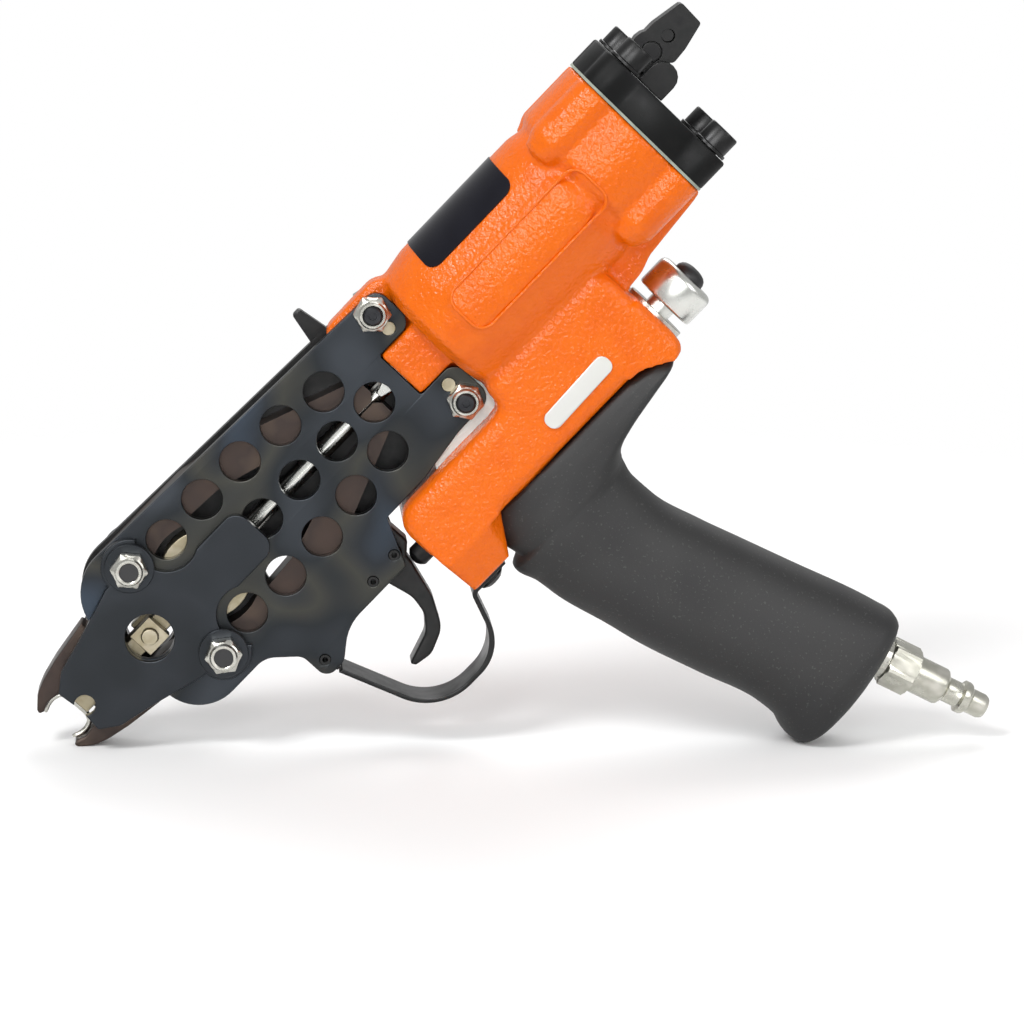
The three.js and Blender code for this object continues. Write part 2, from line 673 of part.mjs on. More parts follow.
function barrel() {
  const shoulder = barrelShoulder / 4;
  const flare = breechRadius - barrelRadius;
  const body = turned([
    [barrelFront, 0], [barrelFront, barrelNose], [barrelFront + shoulder, barrelRadius - shoulder / 2],
    [barrelFront + barrelShoulder, barrelRadius], [breechFront, barrelRadius], [breechFront + flare, breechRadius],
    [breechRear, breechRadius], [breechRear, 0],
  ], bigSides);
  const bosses = capScrewPlaces.map(([y, z]) => turned([
    [breechFront - capBossRadius / 2, 0], [breechFront - flare, capBossRadius * 0.7],
    [breechFront + flare, capBossRadius], [breechRear, capBossRadius], [breechRear, 0],
  ], roundSides, y, z));
  const panel = across([
    [panelFront, panelTop, panelCorner], [panelFront, -panelBottom, panelCorner],
    [panelRear, -panelBottom, panelCorner], [panelRear, panelTop, panelCorner],
  ], -breechRadius, 0);
  const skin = rodBetween(panelFront - overrun, panelRear + overrun, barrelRadius + panelProud, bigSides);
  return join(body, ...bosses, panel.intersect(skin));
}

function lugs() {
  const half = plateInner - seat;
  const root = barrelFront + barrelShoulder / 2;
  const lug = across([
    [root, lugTop - plateCorner, plateNick], [barrelFront, lugTop, plateCorner], [lugFront, lugTop, plateCorner],
    [lugFront, -lugToeTop, plateNick], [lugToeFront, -lugToeTop, plateNick],
    [lugToeFront, -valveTop - plateCorner, plateNick], [root, -valveTop - plateCorner, plateNick],
  ], -half, half);
  const boss = across([
    [bossFront, bossHalf, plateNick], [bossFront, -bossHalf, plateNick], [root, -bossHalf, plateNick],
    [root, bossHalf, plateNick],
  ], -bossHalfWidth, bossHalfWidth);
  return join(lug, boss);
}

function housing() {
  const slot = wedgeThickness / 2 + slack;
  const slotHalf = wedgeHalf + slack;
  const bushFront = boreFront - faceGap - bushLength;
  return cut(
    join(barrel(), valveBody(), lugs(), handleForm(gripWall + seat, valveAxis, coreEnd)),
    rodBetween(boreFront, breechRear + overrun, boreRadius, bigSides),
    rodBetween(bushFront - faceGap, boreFront + overrun, rodRadius + bushWall + seat),
    rodBetween(notchFront, boreFront, rodRadius + slack),
    box(lugToeFront - overrun, wedgeEnd + slack, -slot, slot, -slotHalf, slotHalf),
    rodBetween(valveFront - overrun, valveRear + overrun, valveBore, smallSides, 0, -valveAxis),
    ...[earBoltHalf, -earBoltHalf].map((z) => crossRod(-plateGap, plateGap, boltRadius + seat, earBoltAt, z)),
    ...[dowelHalf, -dowelHalf].map((z) => crossRod(-plateGap, plateGap, dowelRadius + seat, earBoltAt, z)),
    ...capScrewPlaces.map(([y, z]) =>
      rodBetween(capRear - screwLength, breechRear + overrun, screwRadius + seat, smallSides, y, z)),
    guardScrewHole(),
    inletRod(-plugShank - seat, plugShank, plugShankRadius + seat, smallSides),
  );
}

// A drilling up into the chin from below, through the foot of the guard.
function guardScrewHole() {
  const depth = guardScrewLength + seat;
  const radius = guardScrewRadius + seat;
  const hole = new THREE.CylinderGeometry(radius, radius, depth + overrun, smallSides);
  return solid(hole.rotateX(Math.PI / 2).translate(guardScrewAt, 0, guardTop + (depth - overrun) / 2));
}

function endCap() {
  const allPlaces = (from, to, radius, sides) =>
    capScrewPlaces.map(([y, z]) => rodBetween(from, to, radius, sides, y, z));
  const cap = join(
    rodBetween(capFront, capFront + capStep, capFlange, bigSides),
    rodBetween(breechRear - capSpigot, capRear, boreRadius - seat, bigSides),
    rodBetween(capFront, capRear, capCrown, bigSides),
    ...allPlaces(capFront, capRear, capBossRadius, roundSides),
  );
  const hollow = rodBetween(breechRear - capSpigot - overrun, capFront + capStep, boreRadius - capSpigotWall);
  const holes = allPlaces(breechRear, capRear + overrun, screwRadius + seat, smallSides);
  add('end_cap', cut(cap, hollow, ...holes), blackOxide);
  const [start, end] = [breechRear + faceGap, breechRear + faceGap + gasketThickness];
  const sheet = join(rodBetween(start, end, breechRadius, bigSides),
    ...allPlaces(start, end, capBossRadius, roundSides));
  add('cap_gasket', cut(sheet, rodBetween(breechRear, capRear, boreRadius, bigSides), ...holes), gasketPaper);
  const under = capRear + faceGap;
  const head = under + screwWasherLength;
  const top = head + screwHeadLength;
  const screwStart = capRear - screwLength + seat;
  capScrewPlaces.forEach(([y, z], i) => {
    const screw = turned([
      [screwStart, 0], [screwStart, screwRadius], [under, screwRadius], [under, screwWasherRadius],
      [head, screwWasherRadius], [head, screwHeadRadius], [top - seat, screwHeadRadius],
      [top, screwHeadRadius - seat], [top, 0],
    ], roundSides, y, z);
    const socket = new THREE.CylinderGeometry(screwSocketRadius, screwSocketRadius, 2 * screwSocketDepth, 6);
    add(`cap_screw_${i + 1}`, cut(screw, solid(socket.rotateZ(-Math.PI / 2).translate(top, y, z))), blackOxide);
  });
}

function hanger() {
  const pivot = [capRear + hangerPivotBack, hangerPivotUp];
  const face = capRear + faceGap;
  const tab = [face + hangerTabBack, hangerTabUp];
  const [low, high] = [tab[1] - hangerTabRadius, tab[1] + hangerTabRadius];
  const nearFace = -hangerHalfThickness - hangerCheekGap;
  const farFace = hangerHalfThickness + seat;
  const nearTab = across([
    [face, low, 0], [face, high, 0], [tab[0] + hangerTabRadius, high, hangerTabRadius],
    [tab[0] + hangerTabRadius, low, hangerTabRadius],
  ], nearFace - hangerCheek, nearFace);
  const farCheek = across([
    [face, low, 0], [face, pivot[1] + hangerTabRadius, 0],
    [pivot[0] + hangerTabRadius, pivot[1] + hangerTabRadius, hangerTabRadius],
    [pivot[0] + hangerTabRadius, pivot[1] - hangerTabRadius, hangerTabRadius], [tab[0], low, hangerTabRadius],
  ], farFace, farFace + hangerCheek);
  const base = box(face, face + hangerBase, nearFace - hangerCheek, farFace + hangerCheek, low, high);
  const pinHole = crossRod(0, farFace + hangerCheek + overrun, hangerPin + seat / 2, ...pivot);
  add('hanger_bracket', cut(join(nearTab, farCheek, base), pinHole), blackOxide);
  const blade = across(scaled(hangerBladeShares, hangerReach, hangerReach, ...pivot), -hangerHalfThickness,
    hangerHalfThickness);
  const root = crossRod(-hangerHalfThickness, hangerHalfThickness, hangerRoot, ...pivot, roundSides);
  const start = -hangerHalfThickness - overrun;
  const recess = -hangerHalfThickness + hangerPinHeadHeight + seat;
  add('hanger_lever', cut(
    join(blade, root),
    crossRod(start, -start, hangerPin + slack / 2, ...pivot),
    crossRod(start, recess, hangerPinHead + slack, ...pivot),
    crossRod(start, -start, hangerHole, pivot[0] + hangerHoleAt, pivot[1] - seat),
  ), blackOxide);
  const neck = recess - faceGap;
  add('hanger_pin', crossPin([
    [neck - hangerPinHeadHeight, 0], [neck - hangerPinHeadHeight, hangerPinHead], [neck, hangerPinHead],
    [neck, hangerPin], [farFace + hangerCheek, hangerPin], [farFace + hangerCheek, 0],
  ], ...pivot), zincPlate);
}

function triggerAndValve() {
  const corners = scaled(triggerShares, triggerDrop, triggerDrop, ...triggerPinAt);
  const body = across(corners, -triggerThickness / 2, triggerThickness / 2);
  add('trigger', cut(body, crossRod(-plateGap, plateGap, rollPin + slack / 2, ...triggerPinAt)), blackOxide);
  const front = valveFront - valveButtonReach;
  const round = valveButton / 3;
  add('valve_stem', turned([
    [front, 0], [front, valveButton - 2 * round], [front + round / 2, valveButton - round],
    [front + round * 1.5, valveButton], [valveFront, valveButton], [valveFront + slack, spoolRadius],
    [valveFront + spoolLength, spoolRadius], [valveFront + spoolLength, 0],
  ], smallSides, 0, -valveAxis), blackOxide);
}

// The guard is one strip: pinned at its front, bent round under the trigger and screwed to the chin.
function triggerGuard() {
  const [pinX, pinZ] = guardPinAt;
  const eye = rollPin + slack / 2 + guardEye;
  const start = [pinX - eye + guardStrip / 2, pinZ];
  const foot = guardTop - guardStrip;
  const outer = [
    start, [start[0] + guardLean, -guardFloor], [start[0] + guardLean + guardRun, -guardFloor],
    [guardScrewAt - guardScrewHead - guardStrip, foot], [guardFoot, foot],
  ];
  const normal = ([x0, z0], [x1, z1]) => new THREE.Vector2(z0 - z1, x1 - x0).normalize();
  // The inner face's corners lie on the bisectors of the outer one's, a strip's thickness in.
  const inner = outer.map((point, i) => {
    const before = normal(...(i ? [outer[i - 1], point] : [point, outer[1]]));
    const after = i + 1 < outer.length ? normal(point, outer[i + 1]) : before;
    const side = before.clone().add(after);
    side.multiplyScalar((2 * guardStrip) / side.lengthSq());
    return [point[0] + side.x, point[1] + side.y];
  });
  const bent = (path, bends) => path.map(([x, z], i) => [x, z, bends[i]]);
  const outerFace = bent(outer, [0, guardBend, guardBend, guardStrip, 0]);
  const innerFace = bent(inner, [0, guardBend - guardStrip, guardBend - guardStrip, 2 * guardStrip, 0]);
  const strip = across([...outerFace, ...innerFace.reverse()], -guardWidth / 2, guardWidth / 2);
  const shoulder = -guardEarBottom - guardStrip;
  const trims = [[-guardWidth, -guardTongueHalf], [guardTongueHalf, guardWidth]].map(([near, far]) =>
    box(pinX - guardWidth, pinX + guardWidth, near, far, shoulder, pinZ + guardWidth));
  const eyelet = crossRod(-guardTongueHalf, guardTongueHalf, eye, pinX, pinZ, roundSides);
  const bore = crossRod(-guardWidth, guardWidth, rollPin + slack / 2, pinX, pinZ);
  add('trigger_guard', cut(join(strip, eyelet), ...trims, bore, guardScrewHole()), blackOxide);
  const under = foot - faceGap;
  const tip = guardTop + guardScrewLength;
  const profile = [
    [under - guardScrewHeadHeight, 0], [under - guardScrewHeadHeight, guardScrewHead * 0.6],
    [under - guardScrewHeadHeight / 2, guardScrewHead], [under, guardScrewHead], [under, guardScrewRadius],
    [tip, guardScrewRadius], [tip, 0],
  ].map(([z, radius]) => new THREE.Vector2(radius, z));
  const screw = new THREE.LatheGeometry(profile, smallSides).rotateX(Math.PI / 2).translate(guardScrewAt, 0, 0);
  add('guard_screw', solid(screw), blackOxide);
}

function speedKnob() {
  const collarStart = valveRear + faceGap;
  const collarEnd = collarStart + collarThickness;
  const bore = valveBore + seat;
  add('knob_collar', turned([
    [collarStart, bore], [collarStart, collarRadius], [collarEnd, collarRadius], [collarEnd, bore],
    [collarStart, bore],
  ], roundSides, 0, -valveAxis), zincPlate);
  const neck = collarEnd + faceGap;
  const front = neck + knobStemLength;
  const rear = front + knobLength;
  const tail = valveRear - knobTail;
  add('speed_knob', turned([
    [tail, 0], [tail, valveBore - slack], [neck, valveBore - slack], [neck, knobStem], [front, knobStem],
    [front, knobRadius - knobEdge / 4], [front + knobEdge / 4, knobRadius], [rear - knobEdge, knobRadius],
    [rear - knobEdge / 3, knobRadius - knobEdge / 3], [rear, knobRadius - knobEdge], [rear, domeRadius + seat],
    [rear - domeDepth, domeRadius + seat], [rear - domeDepth, 0],
  ], roundSides, 0, -valveAxis), chromeSteel);
  const floor = rear - domeDepth + faceGap;
  add('knob_dome', turned([
    [floor, 0], [floor, domeRadius], [rear, domeRadius], [rear + domeHeight * 0.6, domeRadius * 0.85],
    [rear + domeHeight, domeRadius * 0.4], [rear + domeHeight, 0],
  ], roundSides, 0, -valveAxis), blackRubber);
}

// A solid between rings of points that all have the same count, closed by a fan at each end.
function loft(rings) {
  const sides = rings[0].length;
  const faces = [];
  for (let i = 0; i + 1 < rings.length; i++) {
    for (let j = 0; j < sides; j++) {
      const [a, b] = [i * sides + j, i * sides + ((j + 1) % sides)];
      faces.push(a, a + sides, b, b, a + sides, b + sides);
    }
  }
  const last = (rings.length - 1) * sides;
  for (let j = 1; j + 1 < sides; j++) faces.push(0, j, j + 1, last, last + j + 1, last + j);
  const geometry = new THREE.BufferGeometry().setFromPoints(rings.flat());
  return solid(geometry.setIndex(faces));
}

function gripStation(depth, column) {
  const share = (depth - gripTop) / gripLength;
  const next = gripShares.findIndex(([down]) => down > share);
  if (next < 0) return gripShares.at(-1)[column];
  if (!next) return gripShares[0][column];
  const [before, after] = [gripShares[next - 1], gripShares[next]];
  return THREE.MathUtils.mapLinear(share, before[0], after[0], before[column], after[column]);
}

// The handle's form between two depths, shrunk by inset all round. Inside, it passes the tang and lip by.
function handleForm(inset, from, to) {
  const stations = gripShares.map(([down]) => gripTop + down * gripLength);
  const depths = stations.filter((depth) => depth > from && depth < to);
  const neck = gripTop + gripNeckShare * gripLength;
  return loft([from, ...depths, to].map((depth) => {
    const below = inset ? Math.max(depth, neck) : depth;
    const front = Math.max(gripStation(depth, 1), gripStation(below, 1));
    const back = Math.min(gripStation(depth, 2), gripStation(below, 2));
    const x0 = gripFront + front * gripDepth + inset;
    const x1 = gripFront + back * gripDepth - inset;
    const half = (gripStation(depth, 3) * gripWidth) / 2 - inset;
    return Array.from({ length: gripSides }, (_, j) => {
      const angle = (2 * Math.PI * j) / gripSides;
      const [c, s] = [Math.cos(angle), Math.sin(angle)].map((v) => Math.sign(v) * Math.abs(v) ** gripFullnessShare);
      return new THREE.Vector3((x0 + x1) / 2 + (c * (x1 - x0)) / 2, half * s, -depth);
    });
  }));
}

// Pieces of the air inlet are turned about x and then laid along the plug's own axis.
function inletPlaced(geometry) {
  const [x, z] = plugRoot;
  return solid(geometry.rotateY(Math.PI / 2 - THREE.MathUtils.degToRad(plugLean)).translate(x, 0, z));
}
const inletRod = (from, to, radius, sides) =>
  inletPlaced(turnedGeometry([[from, 0], [from, radius], [to, radius], [to, 0]], sides));

function gripAndInlet() {
  const outer = handleForm(0, gripTop, gripTop + gripLength);
  const inner = handleForm(gripWall, valveAxis, coreEnd + seat);
  // A longer tang is hollowed round the collar and the knob.
  const knobRoom = rodBetween(valveRear, valveRear + gripDepth, collarRadius + seat, roundSides, 0, -valveAxis);
  const sealRoom = inletRod(-plugShank, plugShank, plugSeal + seat, roundSides);
  add('grip_sleeve', cut(outer, inner, sealRoom, knobRoom), blackRubber);
  const collar = plugShankRadius + seat;
  add('inlet_seal', inletPlaced(turnedGeometry([
    [-plugSealLength, collar], [-plugSealLength, plugSeal], [0, plugSeal], [0, collar], [-plugSealLength, collar],
  ], roundSides)), zincPlate);
  const profile = plugShares.map(([along, share]) => [faceGap + along * plugReach, share * plugBody]);
  const tip = faceGap + plugReach;
  const body = inletPlaced(turnedGeometry([
    [-plugShank, 0], [-plugShank, plugShankRadius], [faceGap, plugShankRadius], ...profile, [tip, 0],
  ], roundSides));
  const corner = plugHexWidth / Math.sqrt(3);
  const hex = new THREE.CylinderGeometry(corner, corner, plugHexLength, 6).rotateZ(-Math.PI / 2);
  const wrenchFlats = inletPlaced(hex.translate(faceGap + plugHexLength / 2, 0, 0));
  const bore = inletRod(-plugShank - overrun, tip + overrun, plugBore, smallSides);
  add('air_plug', cut(join(body, wrenchFlats), bore), zincPlate);
}

// The angle that puts the lower jaw's tip and the heel of the grip on one level.
function standAngle() {
  const lowest = (name, angle) => {
    const { array } = tool.getObjectByName(name).geometry.attributes.position;
    let low = Infinity;
    for (let i = 0; i < array.length; i += 3) {
      low = Math.min(low, array[i] * Math.sin(angle) + array[i + 2] * Math.cos(angle));
    }
    return low;
  };
  let [flat, steep] = [0, Math.PI / 2];
  for (let i = 0; i < 40; i++) {
    const angle = (flat + steep) / 2;
    if (lowest('lower_jaw', angle) > lowest('grip_sleeve', angle)) flat = angle;
    else steep = angle;
  }
  return flat;
}

nose();
bolts();
drive();
add('housing', housing(), orangePaint);
endCap();
hanger();
triggerAndValve();
triggerGuard();
speedKnob();
gripAndInlet();

tool.rotation.y = -standAngle();
tool.updateMatrixWorld();
const bounds = new THREE.Box3().setFromObject(tool, true);
const middle = bounds.getCenter(new THREE.Vector3());
tool.position.set(-middle.x, -middle.y, -bounds.min.z);

export default tool;
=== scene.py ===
import json
import math

import bmesh
import bpy
import numpy as np
from mathutils import Matrix, Vector

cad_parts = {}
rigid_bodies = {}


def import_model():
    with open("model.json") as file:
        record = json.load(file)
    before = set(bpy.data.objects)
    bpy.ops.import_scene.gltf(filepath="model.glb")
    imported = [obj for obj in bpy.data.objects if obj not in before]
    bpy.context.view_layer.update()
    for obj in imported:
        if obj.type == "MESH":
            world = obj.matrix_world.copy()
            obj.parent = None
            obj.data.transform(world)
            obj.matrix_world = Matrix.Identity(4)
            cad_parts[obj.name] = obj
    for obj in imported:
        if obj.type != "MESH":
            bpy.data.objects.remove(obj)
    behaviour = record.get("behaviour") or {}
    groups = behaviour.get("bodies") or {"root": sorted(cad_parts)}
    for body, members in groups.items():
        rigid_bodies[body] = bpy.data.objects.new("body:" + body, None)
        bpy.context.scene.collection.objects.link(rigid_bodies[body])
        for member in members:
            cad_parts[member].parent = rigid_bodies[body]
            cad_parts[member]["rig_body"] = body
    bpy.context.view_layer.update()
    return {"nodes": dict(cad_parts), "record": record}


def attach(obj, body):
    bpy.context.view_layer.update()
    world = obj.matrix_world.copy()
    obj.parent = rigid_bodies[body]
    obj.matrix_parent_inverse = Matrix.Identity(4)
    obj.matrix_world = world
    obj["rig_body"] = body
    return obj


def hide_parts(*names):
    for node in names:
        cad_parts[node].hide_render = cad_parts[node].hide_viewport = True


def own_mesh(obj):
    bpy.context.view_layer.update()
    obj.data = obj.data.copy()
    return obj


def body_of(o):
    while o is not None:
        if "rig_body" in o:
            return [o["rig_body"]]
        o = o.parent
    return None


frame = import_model()
nodes = frame["nodes"]
scene = bpy.context.scene
print("frame loaded,", len(nodes), "solids")

# How the tool stands: its own x runs rearward along the barrel, z up from its axis, y across, in mm
stance = {"tilt": 46.99545, "place": (-105.84381, 0.0, 44.87171)}


# Coordinates to points: each is spread to the shape of all, then set beside the others.
def asPoints(*coordinates):
    return np.stack(np.broadcast_arrays(*coordinates), axis=-1)


def fullTurn(count):
    return np.linspace(0, 2 * math.pi, count, endpoint=False)


# Tool millimetres to scene metres: turned about y by the tilt, then moved to its place.
def toScene(points):
    points = np.asarray(points, dtype=float)
    c, s = math.cos(math.radians(stance["tilt"])), math.sin(math.radians(stance["tilt"]))
    turned = asPoints(points[..., 0] * c - points[..., 2] * s, points[..., 1],
                      points[..., 0] * s + points[..., 2] * c)
    return (turned + np.array(stance["place"])) / 1000


# And back: scene metres to tool millimetres
def toTool(points):
    points = np.asarray(points, dtype=float) * 1000 - np.array(stance["place"])
    c, s = math.cos(math.radians(stance["tilt"])), math.sin(math.radians(stance["tilt"]))
    return asPoints(points[..., 0] * c + points[..., 2] * s, points[..., 1],
                    points[..., 2] * c - points[..., 0] * s)


def toSceneDirection(direction):
    return tuple((toScene(direction) - toScene((0, 0, 0))) * 1000)


# sRGB hex to the linear values that the shaders take
def linear(hexColour):
    parts = [int(hexColour[i:i + 2], 16) / 255 for i in (1, 3, 5)]
    return tuple(p / 12.92 if p <= 0.04045 else ((p + 0.055) / 1.055) ** 2.4 for p in parts) + (1.0,)


def withoutNodes(owner):
    owner.use_nodes = True
    owner.node_tree.nodes.clear()
    return owner


# One node with its settings, its socket values and its links; a socket goes by its name or its number
def addNode(material, kind, settings=None, values=None, links=None):
    node = material.node_tree.nodes.new(kind)
    for name, value in (settings or {}).items():
        setattr(node, name, value)
    for name, value in (values or {}).items():
        node.inputs[name].default_value = value
    for name, source in (links or {}).items():
        material.node_tree.links.new(source, node.inputs[name])
    return node


# tints: colours that drift into each other over patch mm, finer with more detail; grain: size and height
# of the surface's bumps in mm; rough: lowest and highest roughness; specks: the colour of dust on it.
finishes = {
    # light-alloy casting under wrinkle enamel: a gloss that fine wrinkles break into bright specks
    "wrinkleEnamel": {"tints": ["#ea6802", "#ec6b04", "#e66400"], "patch": 14, "grain": (1.3, 0.42),
                      "rough": (0.19, 0.26), "metallic": 0.0, "ior": 1.38},
    # the same casting where a cutter has faced it: bright bare alloy
    "machinedAlloy": {"tints": ["#e9fbfa", "#e3f4f3", "#ebfdfc"], "patch": 3, "grain": (0.3, 0.006),
                      "rough": (0.35, 0.45), "metallic": 0.25},
    # steel plate, blacked in hot oil: blue-black that drifts to olive and brown
    "oilBlackedPlate": {"tints": ["#3a434e", "#2d3034", "#3d3d39", "#282b2e", "#373b40"], "patch": 34,
                        "grain": (0.5, 0.006), "rough": (0.3, 0.42), "metallic": 0.85, "detail": 1.0},
    # ground steel plate, blued: even blue-black with a fine grind
    "bluedCover": {"tints": ["#2c2f32", "#303337", "#292c2f"], "patch": 30, "grain": (0.4, 0.005),
                   "rough": (0.28, 0.42), "metallic": 0.85},
    # hardened steel jaw, tempered brown
    "temperedJaw": {"tints": ["#443934", "#3a322f", "#4b4039"], "patch": 12, "grain": (0.4, 0.008),
                    "rough": (0.34, 0.48), "metallic": 0.8},
    # bare machined steel with a khaki cast
    "bareSteel": {"tints": ["#a59c85", "#938a72", "#aaa28e"], "patch": 6, "grain": (0.35, 0.006),
                  "rough": (0.3, 0.45), "metallic": 0.85},
    # zinc plated steel
    "zincPlate": {"tints": ["#c9c8c0", "#b9b8b0", "#d2d0c8"], "patch": 5, "grain": (0.3, 0.003),
                  "rough": (0.2, 0.34), "metallic": 0.95},
    # satin nickel on turned brass
    "satinNickel": {"tints": ["#c3c2b8", "#b4b3a8", "#cbc9c0"], "patch": 7, "grain": (0.3, 0.003),
                    "rough": (0.24, 0.36), "metallic": 0.95},
    # satin chrome on turned steel: broad soft reflections
    "satinChrome": {"tints": ["#dcddd8", "#d4d5d0"], "patch": 8, "grain": (0.4, 0.001),
                    "rough": (0.24, 0.3), "metallic": 1.0},
    # cast cap, sand-blasted and blacked: even, slightly grainy black
    "blastedBlack": {"tints": ["#0f0f10", "#0c0d0d", "#121212"], "patch": 8, "grain": (0.45, 0.03),
                     "rough": (0.42, 0.56), "metallic": 0.2, "ior": 1.28},
    # blacked fasteners and levers
    "blackOxide": {"tints": ["#202021", "#242424", "#1c1d1d"], "patch": 5, "grain": (0.4, 0.006),
                   "rough": (0.3, 0.42), "metallic": 0.6},
    # dark steel thread ends
    "darkThread": {"tints": ["#26272a", "#303134"], "patch": 3, "grain": (0.4, 0.01), "rough": (0.35, 0.5),
                   "metallic": 0.7},
    # moulded rubber, finely textured, with pale specks of dust
    "mouldedRubber": {"tints": ["#1e1e1f", "#212121", "#1c1c1d"], "patch": 30, "grain": (0.5, 0.03),
                      "rough": (0.55, 0.66), "metallic": 0.0, "specks": "#353534"},
    # smooth rubber
    "smoothRubber": {"tints": ["#18181a", "#1d1d1e"], "patch": 6, "grain": (0.5, 0.008),
                     "rough": (0.45, 0.55), "metallic": 0.0},
    # pressed gasket paper
    "gasketPaper": {"tints": ["#8f978b", "#a3aa9e"], "patch": 3, "grain": (0.4, 0.02), "rough": (0.75, 0.9),
                    "metallic": 0.0},
    # turned bronze
    "turnedBronze": {"tints": ["#a9793f", "#93662f", "#b88a4e"], "patch": 3, "grain": (0.3, 0.004),
                     "rough": (0.3, 0.42), "metallic": 0.95},
    # glossy foil, left blank
    "blankFoil": {"tints": ["#0e0e17", "#12121b"], "patch": 10, "grain": (0.6, 0.004), "rough": (0.14, 0.2),
                  "metallic": 0.0, "ior": 1.32},
    # brushed aluminium plate, left blank
    "blankPlate": {"tints": ["#cfcfcb", "#cacac6"], "patch": 30, "grain": (0.3, 0.001), "rough": (0.36, 0.4),
                   "metallic": 0.95},
}

# Noise values that tints, roughness and dust spread over, and the size of a dust speck in mm
spreads = {"tint": (0.32, 0.68), "rough": (0.3, 0.7), "dust": (0.66, 0.72), "dustSize": 0.8}


# A finish: slow noise picks among the tints and the roughness, fine noise makes the bumps.
def makeFinish(name, look):
    material = withoutNodes(bpy.data.materials.new(name))
    where = addNode(material, "ShaderNodeTexCoord").outputs["Object"]
    drift = addNode(material, "ShaderNodeTexNoise",
                    values={"Scale": 1000 / look["patch"], "Detail": look.get("detail", 2.0)},
                    links={"Vector": where})
    ramp = addNode(material, "ShaderNodeValToRGB", links={"Fac": drift.outputs["Fac"]})
    stops = np.linspace(*spreads["tint"], len(look["tints"]))
    for i, (stop, tint) in enumerate(zip(stops, look["tints"])):
        element = ramp.color_ramp.elements[i] if i < 2 else ramp.color_ramp.elements.new(float(stop))
        element.position = float(stop)
        element.color = linear(tint)
    colour = ramp.outputs["Color"]
    if "specks" in look:
        least, most = spreads["dust"]
        dust = addNode(material, "ShaderNodeTexNoise",
                       values={"Scale": 1000 / spreads["dustSize"], "Detail": 1.0}, links={"Vector": where})
        share = addNode(material, "ShaderNodeMapRange", values={"From Min": least, "From Max": most},
                        links={"Value": dust.outputs["Fac"]})
        mixed = addNode(material, "ShaderNodeMix", {"data_type": "RGBA"}, {7: linear(look["specks"])},
                        {"Factor": share.outputs["Result"], 6: colour})
        colour = mixed.outputs[2]
    (least, most), (low, high) = spreads["rough"], look["rough"]
    rough = addNode(material, "ShaderNodeMapRange",
                    values={"From Min": least, "From Max": most, "To Min": low, "To Max": high},
                    links={"Value": drift.outputs["Fac"]})
    size, height = look["grain"]
    grain = addNode(material, "ShaderNodeTexNoise", values={"Scale": 1000 / size, "Detail": 2.0},
                    links={"Vector": where})
    bump = addNode(material, "ShaderNodeBump", values={"Strength": 1.0, "Distance": height / 1000},
                   links={"Height": grain.outputs["Fac"]})
    shader = addNode(material, "ShaderNodeBsdfPrincipled",
                     values={"Metallic": look["metallic"], "IOR": look.get("ior", 1.5)},
                     links={"Base Color": colour, "Roughness": rough.outputs["Result"],
                            "Normal": bump.outputs["Normal"]})
    addNode(material, "ShaderNodeOutputMaterial", links={"Surface": shader.outputs["BSDF"]})
    return material


materials = {name: makeFinish(name, look) for name, look in finishes.items()}
print("finishes made,", len(materials))


# A finished mesh becomes a piece that rides on its body and stands for its solids.
def place(name, mesh, finish, slot, body, *stands, sharp=32):
    mesh.materials.clear()
    mesh.materials.append(materials[finish])
    mesh.shade_smooth()
    mesh.set_sharp_from_angle(angle=math.radians(sharp))
    piece = bpy.data.objects.new(name, mesh)
    scene.collection.objects.link(piece)
    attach(piece, body)
    if stands:
        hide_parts(*stands)
    return piece


# Points of a grid (rows, columns) joined by quads: columns wrap round, rows wrap where closed.
def gridMesh(name, points, closed=False):
    rows, columns = points.shape[:2]
    index = np.arange(rows * columns).reshape(rows, columns)
    beside = np.roll(index, -1, axis=1)
    upper, lower = (index, np.roll(index, -1, axis=0)) if closed else (index[:-1], index[1:])
    upperBeside, lowerBeside = (beside, np.roll(beside, -1, axis=0)) if closed else (beside[:-1], beside[1:])
    quads = np.stack([upper, upperBeside, lowerBeside, lower], axis=-1).reshape(-1, 4).tolist()
    if not closed:
        quads += [index[0][::-1].tolist(), index[-1].tolist()]
    mesh = bpy.data.meshes.new(name)
    mesh.from_pydata(toScene(points).reshape(-1, 3).tolist(), [], quads)
    weld(mesh)
    return mesh


def weld(mesh, distance=2e-6, flat=None):
    work = bmesh.new()
    work.from_mesh(mesh)
    bmesh.ops.remove_doubles(work, verts=work.verts, dist=distance)
    if flat:
        bmesh.ops.dissolve_limit(work, angle_limit=math.radians(flat), verts=work.verts, edges=work.edges)
    bmesh.ops.recalc_face_normals(work, faces=work.faces)
    work.to_mesh(mesh)
    work.free()


